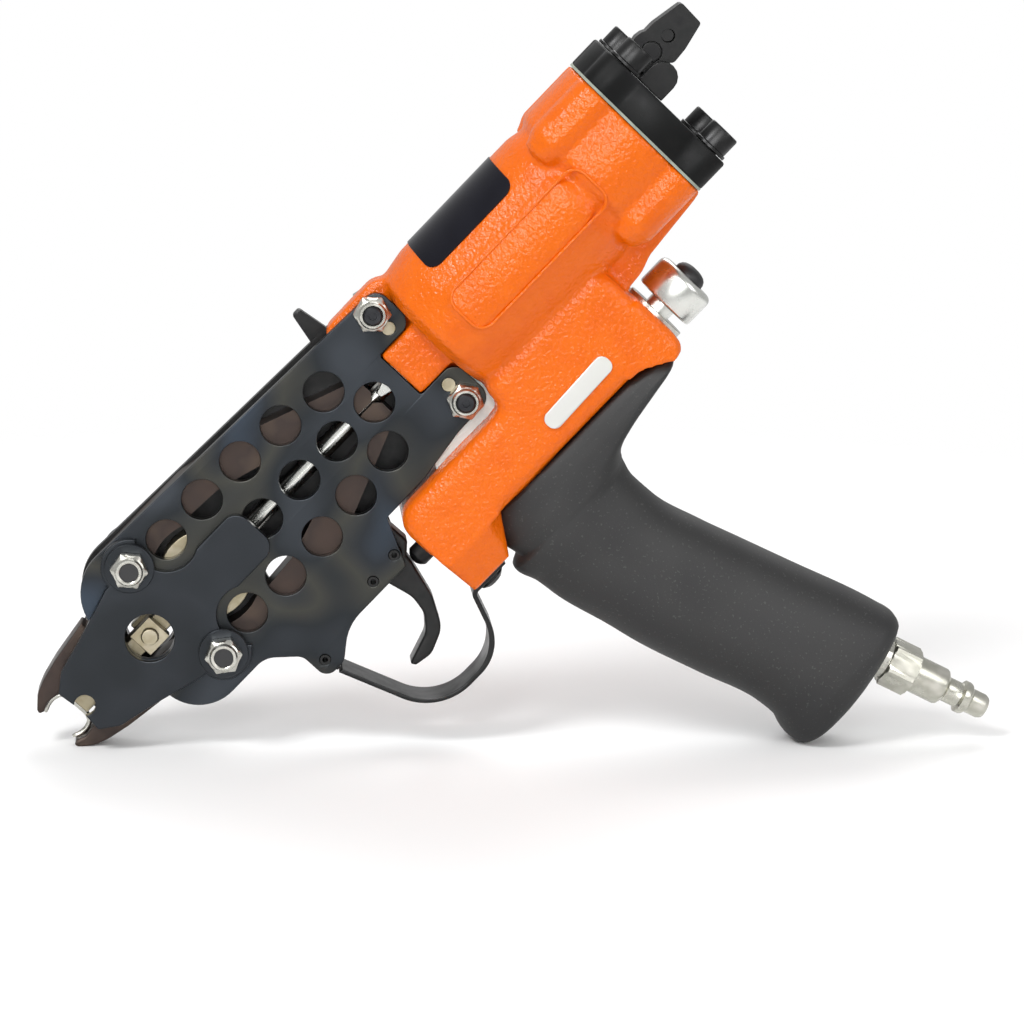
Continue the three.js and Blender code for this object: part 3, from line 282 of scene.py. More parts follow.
# Rows (distance, radius, flats) carried round a line. Where a row has flats, its radius is the lesser
# of its own and flats / cos(angle folded into a sixth of a turn), which leaves a hexagon with its
# corners turned off.
def turnedPiece(name, rows, start, along, finish, slot, body, *stands, sides=72, turn=0, closed=False):
    table = np.array([list(row) + [0] * (3 - len(row)) for row in rows], dtype=float)
    angle = fullTurn(sides) + math.radians(turn)
    folded = (angle - math.radians(turn) + math.pi / 6) % (math.pi / 3) - math.pi / 6
    flats = table[:, 2:3] / np.cos(folded)[None, :]
    radius = np.where(table[:, 2:3] > 0, np.minimum(table[:, 1:2], flats), table[:, 1:2])
    along = np.array(along, dtype=float)
    first = np.cross(along, (0, 1, 0) if abs(along[1]) < 0.5 else (1, 0, 0))
    first /= np.linalg.norm(first)
    second = np.cross(along, first)
    outward = np.cos(angle)[None, :, None] * first + np.sin(angle)[None, :, None] * second
    points = np.array(start, dtype=float) + table[:, 0, None, None] * along + radius[..., None] * outward
    place(name, gridMesh(name, points, closed), finish, slot, body, *stands)


# Corners (x, z, radius) to points: each corner is an arc that touches both its sides.
def rounded(corners, step=6):
    corners = np.array(corners, dtype=float)
    points = []
    for i, (x, z, radius) in enumerate(corners):
        here = np.array((x, z))
        back, ahead = corners[i - 1, :2] - here, corners[(i + 1) % len(corners), :2] - here
        backLength, aheadLength = np.linalg.norm(back), np.linalg.norm(ahead)
        back, ahead = back / backLength, ahead / aheadLength
        half = math.acos(np.clip(back @ ahead, -1, 1)) / 2
        reach = min(radius / math.tan(half), backLength / 2, aheadLength / 2)
        bend = reach * math.tan(half)
        middle = (back + ahead) / max(np.linalg.norm(back + ahead), 1e-9) * bend / math.sin(half)
        side = np.sign(ahead[0] * back[1] - ahead[1] * back[0])
        sweep = (math.pi - 2 * half) * side
        turns = np.linspace(0, sweep, max(2, 1 + round(abs(math.degrees(sweep)) / step)))
        arm = back * reach - middle
        curve = asPoints(arm[0] * np.cos(turns) - arm[1] * np.sin(turns),
                         arm[0] * np.sin(turns) + arm[1] * np.cos(turns))
        points.append(here + middle + curve if bend > 1e-4 else here[None, :])
    return np.concatenate(points)


def circle(x, z, radius, sides=56):
    angle = fullTurn(sides)
    return asPoints(x + radius * np.cos(angle), z + radius * np.sin(angle))


def meshPoints(mesh):
    points = np.empty(len(mesh.vertices) * 3)
    mesh.vertices.foreach_get("co", points)
    return points.reshape(-1, 3)


# Outlines in x, z filled and given thickness from y = near to y = far, all their edges broken.
def platePiece(name, outlines, near, far, edge, finish, slot, body, *stands, segments=2):
    flat = bpy.data.curves.new(name, "CURVE")
    flat.dimensions = "2D"
    flat.fill_mode = "BOTH"
    flat.extrude = (far - near) / 2 - edge
    flat.bevel_depth = edge
    flat.bevel_resolution = segments - 1
    flat.offset = -edge
    for outline in outlines:
        spline = flat.splines.new("POLY")
        spline.points.add(len(outline) - 1)
        spline.points.foreach_set("co", asPoints(outline[:, 0], outline[:, 1], 0, 1).ravel())
        spline.use_cyclic_u = True
    holder = bpy.data.objects.new(name + "_flat", flat)
    scene.collection.objects.link(holder)
    bpy.context.view_layer.update()
    mesh = bpy.data.meshes.new_from_object(holder)
    bpy.data.objects.remove(holder)
    points = meshPoints(mesh)
    upright = asPoints(points[:, 0], (near + far) / 2 - points[:, 2], points[:, 1])
    mesh.vertices.foreach_set("co", toScene(upright).ravel())
    weld(mesh)
    piece = place(name, mesh, finish, slot, body, *stands)
    piece.modifiers.new("evenNormals", "WEIGHTED_NORMAL").keep_sharp = True


# Takes away what lies ahead of a place on the tool's x and closes the cut.
def cutAhead(mesh, front):
    work = bmesh.new()
    work.from_mesh(mesh)
    parts = bmesh.ops.bisect_plane(work, geom=work.verts[:] + work.edges[:] + work.faces[:], clear_inner=True,
                                   plane_co=toScene((front, 0, 0)), plane_no=toSceneDirection((1, 0, 0)))
    rim = [e for e in parts["geom_cut"] if isinstance(e, bmesh.types.BMEdge)]
    bmesh.ops.holes_fill(work, edges=rim)
    work.to_mesh(mesh)
    work.free()


# In degrees: faces merge below the first, edges shade sharp over the second and bevel over the third
broken = {"flat": 0.6, "sharp": 30, "bevel": 32, "segments": 2}


# A solid as modelled, merged, with its edges broken by a small bevel.
def brokenEdges(node, edge, finish, front=None):
    mesh = nodes[node].data.copy()
    weld(mesh, flat=broken["flat"])
    if front is not None:
        cutAhead(mesh, front)
    slot = next(s["material_slot"] for s in frame["record"]["subparts"] if s["node"] == node)
    piece = place(node + "_finished", mesh, finish, slot, body_of(nodes[node])[0], node,
                  sharp=broken["sharp"])
    bevel = piece.modifiers.new("brokenEdge", "BEVEL")
    bevel.width = edge / 1000
    bevel.segments = broken["segments"]
    bevel.limit_method = "ANGLE"
    bevel.angle_limit = math.radians(broken["bevel"])
    bevel.harden_normals = True


# Side plates: the outline, its holes in two curving rows and one on the axis
plate = {"inner": 5.0, "outer": 8.0, "blind": 6.2, "lap": 0.3, "open": 3, "edge": 0.3, "thinEdge": 0.1,
         "hole": 6.25, "pitch": 16.45}
plateTop = [(-21.8, 29.3, 16), (113.2, 23.7, 4.5)]
plateRest = [(113.2, 8.7, 4.5), (98.8, 8.7, 1), (98.8, -8.7, 1), (113.2, -8.7, 4.5), (113.2, -24.9, 4.5),
             (98.8, -24.9, 16), (80.2, -27.5, 16), (64.2, -27.5, 1), (57.2, -42.2, 2), (31.5, -42.2, 16),
             (22.5, -49.1, 4.5), (14.9, -49.1, 4.5), (14.9, -38.7, 4.5), (6.7, -30.5, 8), (-21.8, -30.5, 16)]
catchTab = [(86.2, 24.82, 0.3), (88.44, 34.7, 1), (91.28, 34.7, 1), (92.8, 24.55, 0.3)]
# Holes as x, z, radius: the window on the guide's stud, and those for bolts, dowels and pins. The rows
# stand 16.8 mm from the axis at the nose and 13.4 mm at the ears, and bow out by 2 mm between.
windowHole = (-12, 0, 7.5)
pivotHoles = [(0, 19.5, 3.3), (0, -19.5, 3.3)]
pinHoles = [*pivotHoles, (106.8, 19.4, 3.3), (106.8, -19.4, 3.3), (106.8, 12.6, 2.15), (106.8, -12.6, 2.15),
            (57.2, -37.1, 1.7), (46.8, -38.2, 1.7), (18.9, -44.4, 1.7)]
holeRows = {"first": 13.5, "middle": 38.1, "nose": 16.8, "ears": 13.4, "bow": 8}


def sidePlates():
    along = np.linspace(0, 1, 5)
    half = (holeRows["nose"] + (holeRows["ears"] - holeRows["nose"]) * along
            + holeRows["bow"] * along * (1 - along))
    holes = [circle(holeRows["first"] + i * plate["pitch"], side * h, plate["hole"])
             for i, h in enumerate(half) for side in (1, -1)]
    middle = [circle(holeRows["middle"] + i * plate["pitch"], 0, plate["hole"]) for i in range(4)]
    window = circle(*windowHole)
    pins = [circle(*hole, 32) for hole in pinHoles]
    nearEdge = rounded([plateTop[0], plateTop[1], *plateRest])
    farEdge = rounded([plateTop[0], *catchTab, plateTop[1], *plateRest])
    platePiece("near_plate", [nearEdge, *holes, *middle, window, *pins], -plate["outer"], -plate["inner"],
               plate["edge"], "oilBlackedPlate", "blued_steel", "frame", "near_side_plate")
    # On the far side a thin inner layer closes all the holes but one: the photo is dark behind them
    platePiece("far_plate", [farEdge, *holes, *middle, window, *pins], plate["blind"], plate["outer"],
               plate["edge"], "oilBlackedPlate", "blued_steel", "frame", "far_side_plate")
    platePiece("far_plate_inner", [farEdge, holes[plate["open"]], window, *pins], plate["inner"],
               plate["blind"] + plate["lap"], plate["thinEdge"], "blackOxide", "blued_steel", "frame")


# Faced strip of the casting that the lower ear lies on: it shows past the plate's edge
strip = {"outer": 6.0, "inner": 4.9, "edge": 0.12}
stripCorners = [(108, -15, 0.5), (113.5, -15, 1), (114.8, -20.4, 1.5), (115.2, -29.7, 3.4),
                (84.2, -29.8, 0.4), (86.4, -26.4, 0.4), (99, -22.5, 1)]


def facedStrip():
    platePiece("faced_strip", [rounded(stripCorners)], -strip["outer"], -strip["inner"], strip["edge"],
               "machinedAlloy", "bare_steel", "frame")


# Nose covers: a tongue, a scallop round the first hole, a lobe round the pivot, then in to the mouth
cover = {"inner": 8.15, "outer": 11.15, "edge": 0.35, "tongue": 8.6, "end": 35.2, "bend": 5,
         "scallop": (13.5, 16.8, 9.4), "scallopStart": (-8.2, 4.6), "scallopEnd": (7.19, -6.05),
         "lobe": (0, 19.5, 8.7), "lobeStart": (4.49, 7.449), "lobeEnd": 176, "throat": (-41, 3.3, 2.2)}
coverSide = [(-8.7, 20.1, 0), (-10.1, 20.0, 3), (-27.7, 14.9, 8), (-38.2, 12.4, 5), (-43.8, 8.2, 1),
             (-43.2, 0, 0)]


def arc(x, z, radius, start, end, count=24):
    angle = np.radians(np.linspace(start, end, count))
    return asPoints(x + radius * np.cos(angle), z + radius * np.sin(angle))


def noseCovers():
    bend = cover["bend"]
    corner = arc(cover["end"] - bend, cover["tongue"] - bend, bend, 0, 90, 12)
    scallop = arc(*cover["scallop"], math.degrees(math.atan2(*cover["scallopStart"])),
                  math.degrees(math.atan2(*cover["scallopEnd"])) - 360, 30)
    lobe = arc(*cover["lobe"], math.degrees(math.atan2(*cover["lobeStart"])), cover["lobeEnd"], 22)
    side = rounded(coverSide)[1:-1]
    throatX, radius, reach = cover["throat"]
    throat = arc(throatX, 0, radius, 180 - math.degrees(math.acos(reach / radius)), 0, 10)
    half = np.concatenate([corner, scallop, lobe, side, throat])
    outline = np.concatenate([half, half[:-1][::-1] * (1, -1)])
    holes = [circle(*windowHole), *(circle(*hole, 32) for hole in pivotHoles)]
    for name, near, far in (("near", -cover["outer"], -cover["inner"]),
                            ("far", cover["inner"], cover["outer"])):
        platePiece(f"{name}_cover", [outline, *holes], near, far, cover["edge"], "bluedCover", "blued_steel",
                   "frame", f"{name}_nose_cover")


# Rows of a nut or bolt head, its seat at zero: flats with the corners turned off
def hexRows(width, height, chamfer=0.7):
    flats, corner = width / 2, width / math.sqrt(3)
    return [(0, 0), (0, flats * 0.96), (chamfer * 0.4, corner, flats), (height - chamfer, corner, flats),
            (height, flats * 0.95, flats)]


# Bolts across the nose and the ears: name, x, z, seats of nut and head from the middle, whether there are
# washers, how far the thread ends past the nut, turn of nut and head
bolts = [("upper_pivot", 0, 19.5, 12.75, True, -0.5, 8), ("lower_pivot", 0, -19.5, 12.75, True, -0.5, 21),
         ("upper_ear", 106.8, 19.4, 8.15, False, 0.8, 14), ("lower_ear", 106.8, -19.4, 8.15, False, 0.8, 3)]
# Width across the flats, heights of nut flats and head, the shank's radius, the nut's top, the washers' seat
bolt = {"flats": 10, "nut": 4.2, "head": 4, "shank": 3, "nutTop": 5.4, "washerSeat": 11.3}
nutCollar = [(4.45, 4.3), (5.1, 4.05), (5.45, 3.8), (5.45, 3.15), (5.3, 2.95), (4.3, 2.9), (4.3, 0)]
nylonRows = [(4.1, 0), (4.1, 2.95), (5.0, 2.95), (5.1, 2.8), (5.1, 0)]
washerRows = [(0, 3.3), (0, 7.4), (0.2, 7.6), (1.1, 7.6), (1.3, 7.4), (1.3, 3.3)]


def fasteners():
    for name, x, z, seat, washers, thread, turn in bolts:
        near, far, radius = (x, -seat, z), (x, seat, z), bolt["shank"]
        nut = hexRows(bolt["flats"], bolt["nut"]) + nutCollar
        turnedPiece(name + "_lock_nut", nut, near, (0, -1, 0), "zincPlate", "zinc_plate", "frame",
                    name + "_nut", turn=turn)
        turnedPiece(name + "_nylon", nylonRows, near, (0, -1, 0), "smoothRubber", "zinc_plate", "frame")
        end = bolt["nutTop"] + thread
        turnedPiece(name + "_thread", [(3.05, 0), (3.05, 2.8), (end - 0.4, 2.8), (end, 2.4),
                                       (end, 1.35, 1.15), (end - 0.6, 1.3, 1.1), (end - 0.6, 0)],
                    near, (0, -1, 0), "darkThread", "zinc_plate", "frame", name + "_bolt")
        turnedPiece(name + "_head", hexRows(bolt["flats"], bolt["head"]) + [(bolt["head"], 0)], far,
                    (0, 1, 0), "zincPlate", "zinc_plate", "frame", turn=turn)
        turnedPiece(name + "_shank", [(-seat, 0), (-seat, radius), (seat, radius), (seat, 0)], (x, 0, z),
                    (0, 1, 0), "darkThread", "zinc_plate", "frame")
        if washers:
            for side, sign in (("near", -1), ("far", 1)):
                turnedPiece(f"{name}_{side}_ring", washerRows, (x, sign * bolt["washerSeat"], z),
                            (0, sign, 0), "bluedCover", "zinc_plate", "frame", f"{name}_{side}_washer",
                            closed=True)


# A closed form that rises or falls between its stations without overshoot: cubic pieces whose slopes
# are the harmonic mean of the neighbouring slopes, or zero where these differ in sign.
def eased(at, stations, values):
    step, rise = np.diff(stations), np.diff(values) / np.diff(stations)
    slope = np.zeros(len(values))
    same = rise[1:] * rise[:-1] > 0
    slope[1:-1][same] = 2 * rise[1:][same] * rise[:-1][same] / (rise[1:] + rise[:-1])[same]
    slope[0], slope[-1] = rise[0], rise[-1]
    i = np.clip(np.searchsorted(stations, at, side="right") - 1, 0, len(step) - 1)
    t = (at - stations[i]) / step[i]
    return ((2 * t**3 - 3 * t**2 + 1) * values[i] + (t**3 - 2 * t**2 + t) * step[i] * slope[i]
            + (3 * t**2 - 2 * t**3) * values[i + 1] + (t**3 - t**2) * step[i] * slope[i + 1])


# Grip stations: how far down, then its front, its back and its width, as shares
grip = {"top": 50.8, "length": 124, "front": 82, "depth": 76, "width": 34, "fullness": 0.78,
        "tangFullness": 0.3, "tangEnd": (0.09, 0.15)}
gripStations = np.array([
    [0, 0.06, 0.84, 0.90], [0.006, 0.042, 0.9, 0.94], [0.023, 0.02, 0.985, 0.97], [0.04, 0.006, 1.012, 0.98],
    [0.048, 0.002, 1.02, 0.985], [0.056, 0, 0.995, 0.985], [0.066, 0, 0.9, 0.98], [0.08, 0, 0.76, 0.975],
    [0.093, 0.002, 0.672, 0.97], [0.108, 0.007, 0.625, 0.965], [0.124, 0.01, 0.6, 0.96],
    [0.13, -0.02, 0.595, 0.955], [0.136, -0.04, 0.588, 0.95], [0.147, -0.043, 0.58, 0.95],
    [0.2, -0.018, 0.558, 0.93], [0.27, -0.005, 0.562, 0.92], [0.4, 0.045, 0.617, 0.92],
    [0.5, 0.08, 0.67, 0.94], [0.66, 0.158, 0.755, 0.97], [0.82, 0.238, 0.842, 1],
    [0.875, 0.245, 0.866, 1.01], [0.92, 0.225, 0.882, 1], [0.945, 0.221, 0.872, 0.95],
    [0.965, 0.225, 0.8, 0.88], [0.985, 0.236, 0.67, 0.76], [0.996, 0.27, 0.56, 0.62], [1, 0.33, 0.47, 0.48]])


# Each level is a full oval: front and back from its stations, width from its own, cos and sin raised
# to the fullness so that the sides are flatter than an ellipse's. The tang at the top rear is squarer.
def gripSurface():
    down = np.unique(np.concatenate([np.linspace(0, 1, 170), gripStations[:, 0]]))
    front, back, width = (eased(down, gripStations[:, 0], gripStations[:, k]) for k in (1, 2, 3))
    x0, x1 = grip["front"] + front * grip["depth"], grip["front"] + back * grip["depth"]
    angle = fullTurn(96)
    square = np.interp(down, grip["tangEnd"], (grip["tangFullness"], grip["fullness"]))[:, None]
    power = np.where(np.cos(angle)[None, :] > 0, square, grip["fullness"])
    c = np.sign(np.cos(angle)) * np.abs(np.cos(angle)) ** power
    s = np.sign(np.sin(angle)) * np.abs(np.sin(angle)) ** power
    x = (x0 + x1)[:, None] / 2 + (x1 - x0)[:, None] / 2 * c
    y = width[:, None] * grip["width"] / 2 * s
    z = -(grip["top"] + down * grip["length"])[:, None]
    place("rubber_grip", gridMesh("rubber_grip", asPoints(x, y, z)), "mouldedRubber", "black_rubber",
          "frame", "grip_sleeve", sharp=50)


# Air plug: rows from the heel of the grip out along its leaning line
plug = {"root": (136.8, 0, -174.4), "lean": 16.8}
plugRows = [(-6, 0), (-6, 4.6), (0.15, 4.6), (0.15, 7.2), (0.5, 8.08, 7), (9.2, 8.08, 7), (9.65, 7.3, 7),
            (9.65, 5.95), (19.6, 5.95), (20.2, 5.7), (21.4, 4.1), (21.9, 4.0), (25.6, 4.0), (26.2, 4.2),
            (26.9, 5.3), (28.5, 5.3), (29.2, 5.0), (30.1, 4.0), (34.4, 4.0), (35.5, 3.5), (35.85, 3.2),
            (35.85, 2.4), (20, 2.4), (20, 0)]


def airPlug():
    lean = math.radians(plug["lean"])
    turnedPiece("plug_body", plugRows, plug["root"], (math.sin(lean), 0, -math.cos(lean)), "satinNickel",
                "zinc_plate", "frame", "air_plug", turn=12)


# Speed knob, its dome and its collar: rows along the valve's line
knob = {"line": (0, 0, -44.2),
        "body": [(150.3, 0), (150.3, 3.85), (166, 3.85), (166, 4.4), (169.3, 4.4), (169.3, 9.3),
                 (169.55, 9.75), (170, 10), (177.9, 10), (178.7, 9.85), (179.4, 9.4), (179.9, 8.7),
                 (180.1, 7.9), (180.1, 5.6), (179.8, 5.5), (178.1, 5.5), (178.1, 0)],
        "dome": [(178.25, 0), (178.25, 5.2), (180.1, 5.2), (181.2, 5.05), (182.2, 4.5), (182.9, 3.6),
                 (183.3, 2.4), (183.5, 1.2), (183.5, 0)],
        "collar": [(164.45, 4.5), (164.45, 10), (164.65, 10.2), (166.1, 10.2), (166.3, 10), (166.3, 4.5)]}


def speedKnob():
    turnedPiece("knob_turned", knob["body"], knob["line"], (1, 0, 0), "satinChrome", "chrome_steel", "knob",
                "speed_knob", sides=80)
    turnedPiece("knob_cushion", knob["dome"], knob["line"], (1, 0, 0), "smoothRubber", "black_rubber", "knob",
                "knob_dome")
    turnedPiece("valve_collar", knob["collar"], knob["line"], (1, 0, 0), "zincPlate", "zinc_plate", "frame",
                "knob_collar", closed=True)


# Cap and gasket: a circle with four bosses, the roots between them smoothed. Rows give place and inset.
cap = {"circle": 26.3, "boss": 7.05, "spread": 17.7, "smooth": 4,
       "band": [(201.95, 0.5), (202.2, 0.1), (202.6, 0), (211.5, 0), (212.1, 0.3), (212.3, 0.9)],
       "gasket": [(201.2, 0.1), (201.25, 0), (202, 0), (202.05, 0.1)]}


def capAndGasket():
    angle = fullTurn(288)
    reach = np.full(len(angle), cap["circle"])
    for y in (-cap["spread"], cap["spread"]):
        for z in (-cap["spread"], cap["spread"]):
            along = y * np.cos(angle) + z * np.sin(angle)
            across = z * np.cos(angle) - y * np.sin(angle)
            chord = np.sqrt(np.maximum(cap["boss"]**2 - across**2, 0))
            reach = np.where((chord > 0) & (along > 0), np.maximum(reach, along + chord), reach)
    near = range(-cap["smooth"], cap["smooth"] + 1)
    reach = sum(np.roll(reach, k) for k in near) / len(near)
    for name, rows, finish, slot, node in (
            ("cap_band", cap["band"], "blastedBlack", "black_oxide", "end_cap"),
            ("gasket_band", cap["gasket"], "gasketPaper", "gasket_paper", "cap_gasket")):
        x, inset = np.array(rows).T
        radius = reach[None, :] - inset[:, None]
        points = asPoints(x[:, None], radius * np.cos(angle), radius * np.sin(angle))
        place(name, gridMesh(name, points), finish, slot, "frame", node, sharp=40)


# Socket screws of the cap: split washer, head with a hexagon socket, each at a turn of its own
capScrewRows = [(194.6, 0), (194.6, 3), (212.45, 3), (212.45, 5.4), (212.65, 5.6), (213.35, 5.6),
                (213.55, 5.4), (213.55, 4.9), (213.7, 5.0), (219.0, 5.0), (219.4, 4.8), (219.55, 4.4),
                (219.55, 3.2), (219.3, 2.95), (219.25, 2.9, 2.5), (216.6, 2.9, 2.5), (216.5, 0)]


def capScrews():
    for i, (y, z) in enumerate([(1, 1), (-1, 1), (-1, -1), (1, -1)]):
        turnedPiece(f"cap_socket_screw_{i + 1}", capScrewRows, (0, y * cap["spread"], z * cap["spread"]),
                    (1, 0, 0), "blackOxide", "black_oxide", "frame", f"cap_screw_{i + 1}", turn=11 + 17 * i)


# Rivet that closes the hanger lever's hole
rivet = {"at": (227.9, 0, 12.35), "radius": 2.15, "half": 2.7, "edge": 0.3}


def hangerRivet():
    half, radius, edge = rivet["half"], rivet["radius"], rivet["edge"]
    rows = [(-half, 0), (-half, radius - edge), (edge - half, radius), (half, radius), (half, 0)]
    turnedPiece("hanger_rivet", rows, rivet["at"], (0, 1, 0), "blackOxide", "black_oxide", "hanger", sides=40)


# Guard: one strip's outline along its bends, wide below the plates and narrow where it enters them
guard = {"strip": 1.5, "wide": 7.0, "narrow": 4.6, "pin": (18.9, -44.4), "eye": 3.225, "bore": 1.8,
         "front": 13.9, "rear": 41.9, "bottom": -83.1, "lip": (65.5, 78.4), "top": -64.25,
         "outerBends": (0, 19, 19, 1.5, 0), "innerBends": (0, 17.5, 17.5, 3, 0), "edge": 0.35,
         "thinEdge": 0.3, "bowFrom": -50.6, "tongueFrom": -50.2}


def guardStrip():
    pinX, pinZ = guard["pin"]
    thick, bottom = guard["strip"], guard["bottom"]
    start = (pinX - guard["eye"] + thick / 2, pinZ)
    outer = np.array([start, (start[0] + guard["front"], bottom), (start[0] + guard["rear"], bottom),
                      *((x, guard["top"]) for x in guard["lip"])])
    run = np.diff(outer, axis=0)
    run /= np.linalg.norm(run, axis=1)[:, None]
    normal = asPoints(-run[:, 1], run[:, 0])
    before, after = np.vstack([normal[:1], normal]), np.vstack([normal, normal[-1:]])
    side = before + after
    inner = outer + side * (2 * thick / np.sum(side**2, axis=1))[:, None]
    there = [(*p, b) for p, b in zip(outer, guard["outerBends"])]
    back = [(*p, b) for p, b in zip(inner, guard["innerBends"])][::-1]
    outline = rounded(there + back, 3)
    bow, tongue = clipped(outline, guard["bowFrom"], True), clipped(outline, guard["tongueFrom"], False)
    eye = [circle(pinX, pinZ, guard["eye"]), circle(pinX, pinZ, guard["bore"], 24)]
    platePiece("guard_bow", [bow], -guard["wide"], guard["wide"], guard["edge"], "blackOxide", "black_oxide",
               "frame", "trigger_guard")
    for name, outlines in (("guard_tongue", [tongue]), ("guard_eye", eye)):
        platePiece(name, outlines, -guard["narrow"], guard["narrow"], guard["thinEdge"], "blackOxide",
                   "black_oxide", "frame")


# The part of an outline on one side of a level, cut on the straight line between two points.
def clipped(outline, level, below):
    kept = []
    for i in range(len(outline)):
        a, b = outline[i - 1], outline[i]
        insideA, insideB = (a[1] < level) == below, (b[1] < level) == below
        if insideA != insideB:
            kept.append(a + (b - a) * (level - a[1]) / (b[1] - a[1]))
        if insideB:
            kept.append(b)
    return np.array(kept)


# Trigger: the outline as shares of its drop behind the pin and above it
trigger = {"pin": (57.2, -37.1), "bore": 1.82, "drop": 30.7, "half": 4.3, "edge": 0.9}
triggerShares = [(-0.272, -0.17, 0.05), (-0.205, -0.46, 0.3), (-0.245, -0.66, 0.2), (-0.38, -0.81, 0.2),
                 (-0.726, -0.919, 0.03), (-0.687, -0.975, 0.03), (-0.5, -1.01, 0.2), (-0.23, -0.9, 0.3),
                 (-0.06, -0.6, 0.3), (0.049, -0.221, 0.1), (0.065, -0.12, 0.03), (0.182, -0.02, 0.05),
                 (0.173, 0.248, 0.04), (-0.072, 0.254, 0.08), (-0.24, 0.1, 0.1)]


def triggerLever():
    pinX, pinZ = trigger["pin"]
    drop = trigger["drop"]
    outline = rounded([(pinX + a * drop, pinZ + b * drop, r * drop) for a, b, r in triggerShares], 4)
    platePiece("trigger_blade", [outline, circle(pinX, pinZ, trigger["bore"], 24)], -trigger["half"],
               trigger["half"], trigger["edge"], "blackOxide", "black_oxide", "trigger_lever", "trigger",
               segments=3)


# The waiting ring: a C of wire, its points joined by a smooth curve and a circle carried along it
ring = {"wire": 0.85, "back": -44.75, "half": 7.0, "reach": 8.4, "stations": 72, "tip": 0.55}


def waitingRing():
    back, half = ring["back"], ring["half"]
    leg = np.array([(back - ring["reach"], half * 0.8), (back - ring["reach"] * 0.8, half * 0.94),
                    (back - ring["reach"] * 0.5, half), (back - half / 7, half * 0.84), (back, half * 0.4)])
    knots = np.vstack([leg, leg[::-1] * (1, -1)])
    spread = np.concatenate([[0], np.cumsum(np.linalg.norm(np.diff(knots, axis=0), axis=1))])
    count = ring["stations"]
    at = np.linspace(0, spread[-1], count)
    path = asPoints(eased(at, spread, knots[:, 0]), eased(at, spread, knots[:, 1]))
    along = np.gradient(path, axis=0)
    along /= np.linalg.norm(along, axis=1)[:, None]
    normal = asPoints(-along[:, 1], along[:, 0])
    angle = fullTurn(16)
    fromTip = np.minimum(np.arange(count), np.arange(count)[::-1])
    taper = np.minimum(1, ring["tip"] + (1 - ring["tip"]) * fromTip / 3)[:, None]
    radius = ring["wire"] * taper
    x = path[:, 0:1] + radius * np.cos(angle) * normal[:, 0:1]
    z = path[:, 1:2] + radius * np.cos(angle) * normal[:, 1:2]
    y = radius * np.sin(angle)
    piece = place("wire_ring", gridMesh("wire_ring", asPoints(x, y, z)), "zincPlate", "chrome_steel",
                  "frame", "loaded_ring")
    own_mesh(piece)


# Hooks of the jaws, thicker than the solids' own, which are cut away: the upper one's outline
hook = {"half": 4.68, "edge": 0.55, "cut": -34.0, "jawEdge": 0.45}
hookOutline = [(-24, 17.4, 0.5), (-37.8, 15.4, 12), (-45.2, 13.7, 10), (-49.6, 12.0, 5), (-53.5, 8.6, 1.6),
               (-53.9, 7.3, 0.7), (-52.4, 6.7, 0.5), (-49.4, 7.9, 2.5), (-46.0, 7.4, 1), (-40, 7.0, 1),
               (-24, 6.6, 0.5)]


def jaws():
    for name, side in (("upper", 1), ("lower", -1)):
        outline = rounded([(x, side * z, r) for x, z, r in hookOutline], 5)
        platePiece(name + "_hook", [outline], -hook["half"], hook["half"], hook["edge"], "temperedJaw",
                   "brown_steel", "jaw_" + name)
        brokenEdges(name + "_jaw", hook["jawEdge"], "temperedJaw", front=hook["cut"])


# Casting: the solid recast in small cells, their size in metres, and relaxed, which rounds every edge and
# root as a mould does
casting = {"cell": 0.00095, "relax": 5, "factor": 0.5}
# Added to it, as corners in x, z: a web under the breech and the valve body's lower rear corner. Their
# outermost outlines are shorter by the share, so that the sides round off over the depth.
web = {"half": 9.0, "corners": [(201.2, -20), (201.2, -28.6), (165.9, -31.9), (160, -33), (160, -20)]}
lip = {"half": 17.3, "corners": [(146, -35), (146, -50), (150.7, -50.4), (153.8, -51.9), (157.2, -53.7),
                                 (160.6, -55.9), (163, -55.7), (164.8, -53.4), (165.2, -50), (165.2, -35)]}
turnedOff = {"deep": 2.0, "share": 0.88}
# Chin: the valve body's front end drawn down and in to the guard's screw. Sides are y, lower end, rear.
# It is a block without a bore, so the valve stem runs into it.
chin = {"front": 66.3, "top": -38, "rear": 90, "sides": [(17.2, -50.3, 84), (11.5, -62.5, 81.4)]}
# Breech: drawn in to this share of itself, smoothly from one place to the other. The whole wall is scaled,
# so the bore gets narrower too and the piston cuts into it.
breech = {"from": 171, "to": 178, "share": 0.96}


def prismPoints(part):
    outline = np.array(part["corners"], dtype=float)
    front, inner = outline[:, 0].min(), part["half"] - turnedOff["deep"]
    drawn = turnedOff["share"]
    levels = ((-part["half"], drawn), (-inner, 1), (inner, 1), (part["half"], drawn))
    return np.stack([asPoints(front + (outline[:, 0] - front) * share, y, outline[:, 1])
                     for y, share in levels])


def chinPoints():
    outer, inner = chin["sides"]
    levels = ((-outer[0], *outer[1:]), (-inner[0], *inner[1:]), inner, outer)
    return np.array([[(chin["front"], y, chin["top"]), (chin["front"], y, low), (rear, y, low),
                      (chin["rear"], y, outer[1]), (chin["rear"], y, chin["top"])]
                     for y, low, rear in levels], dtype=float)


def drawBreechIn(mesh):
    points = toTool(meshPoints(mesh))
    share = np.clip((points[:, 0] - breech["from"]) / (breech["to"] - breech["from"]), 0, 1)
    points[:, 1:] *= (1 - (1 - breech["share"]) * share**2 * (3 - 2 * share))[:, None]
    mesh.vertices.foreach_set("co", toScene(points).ravel())


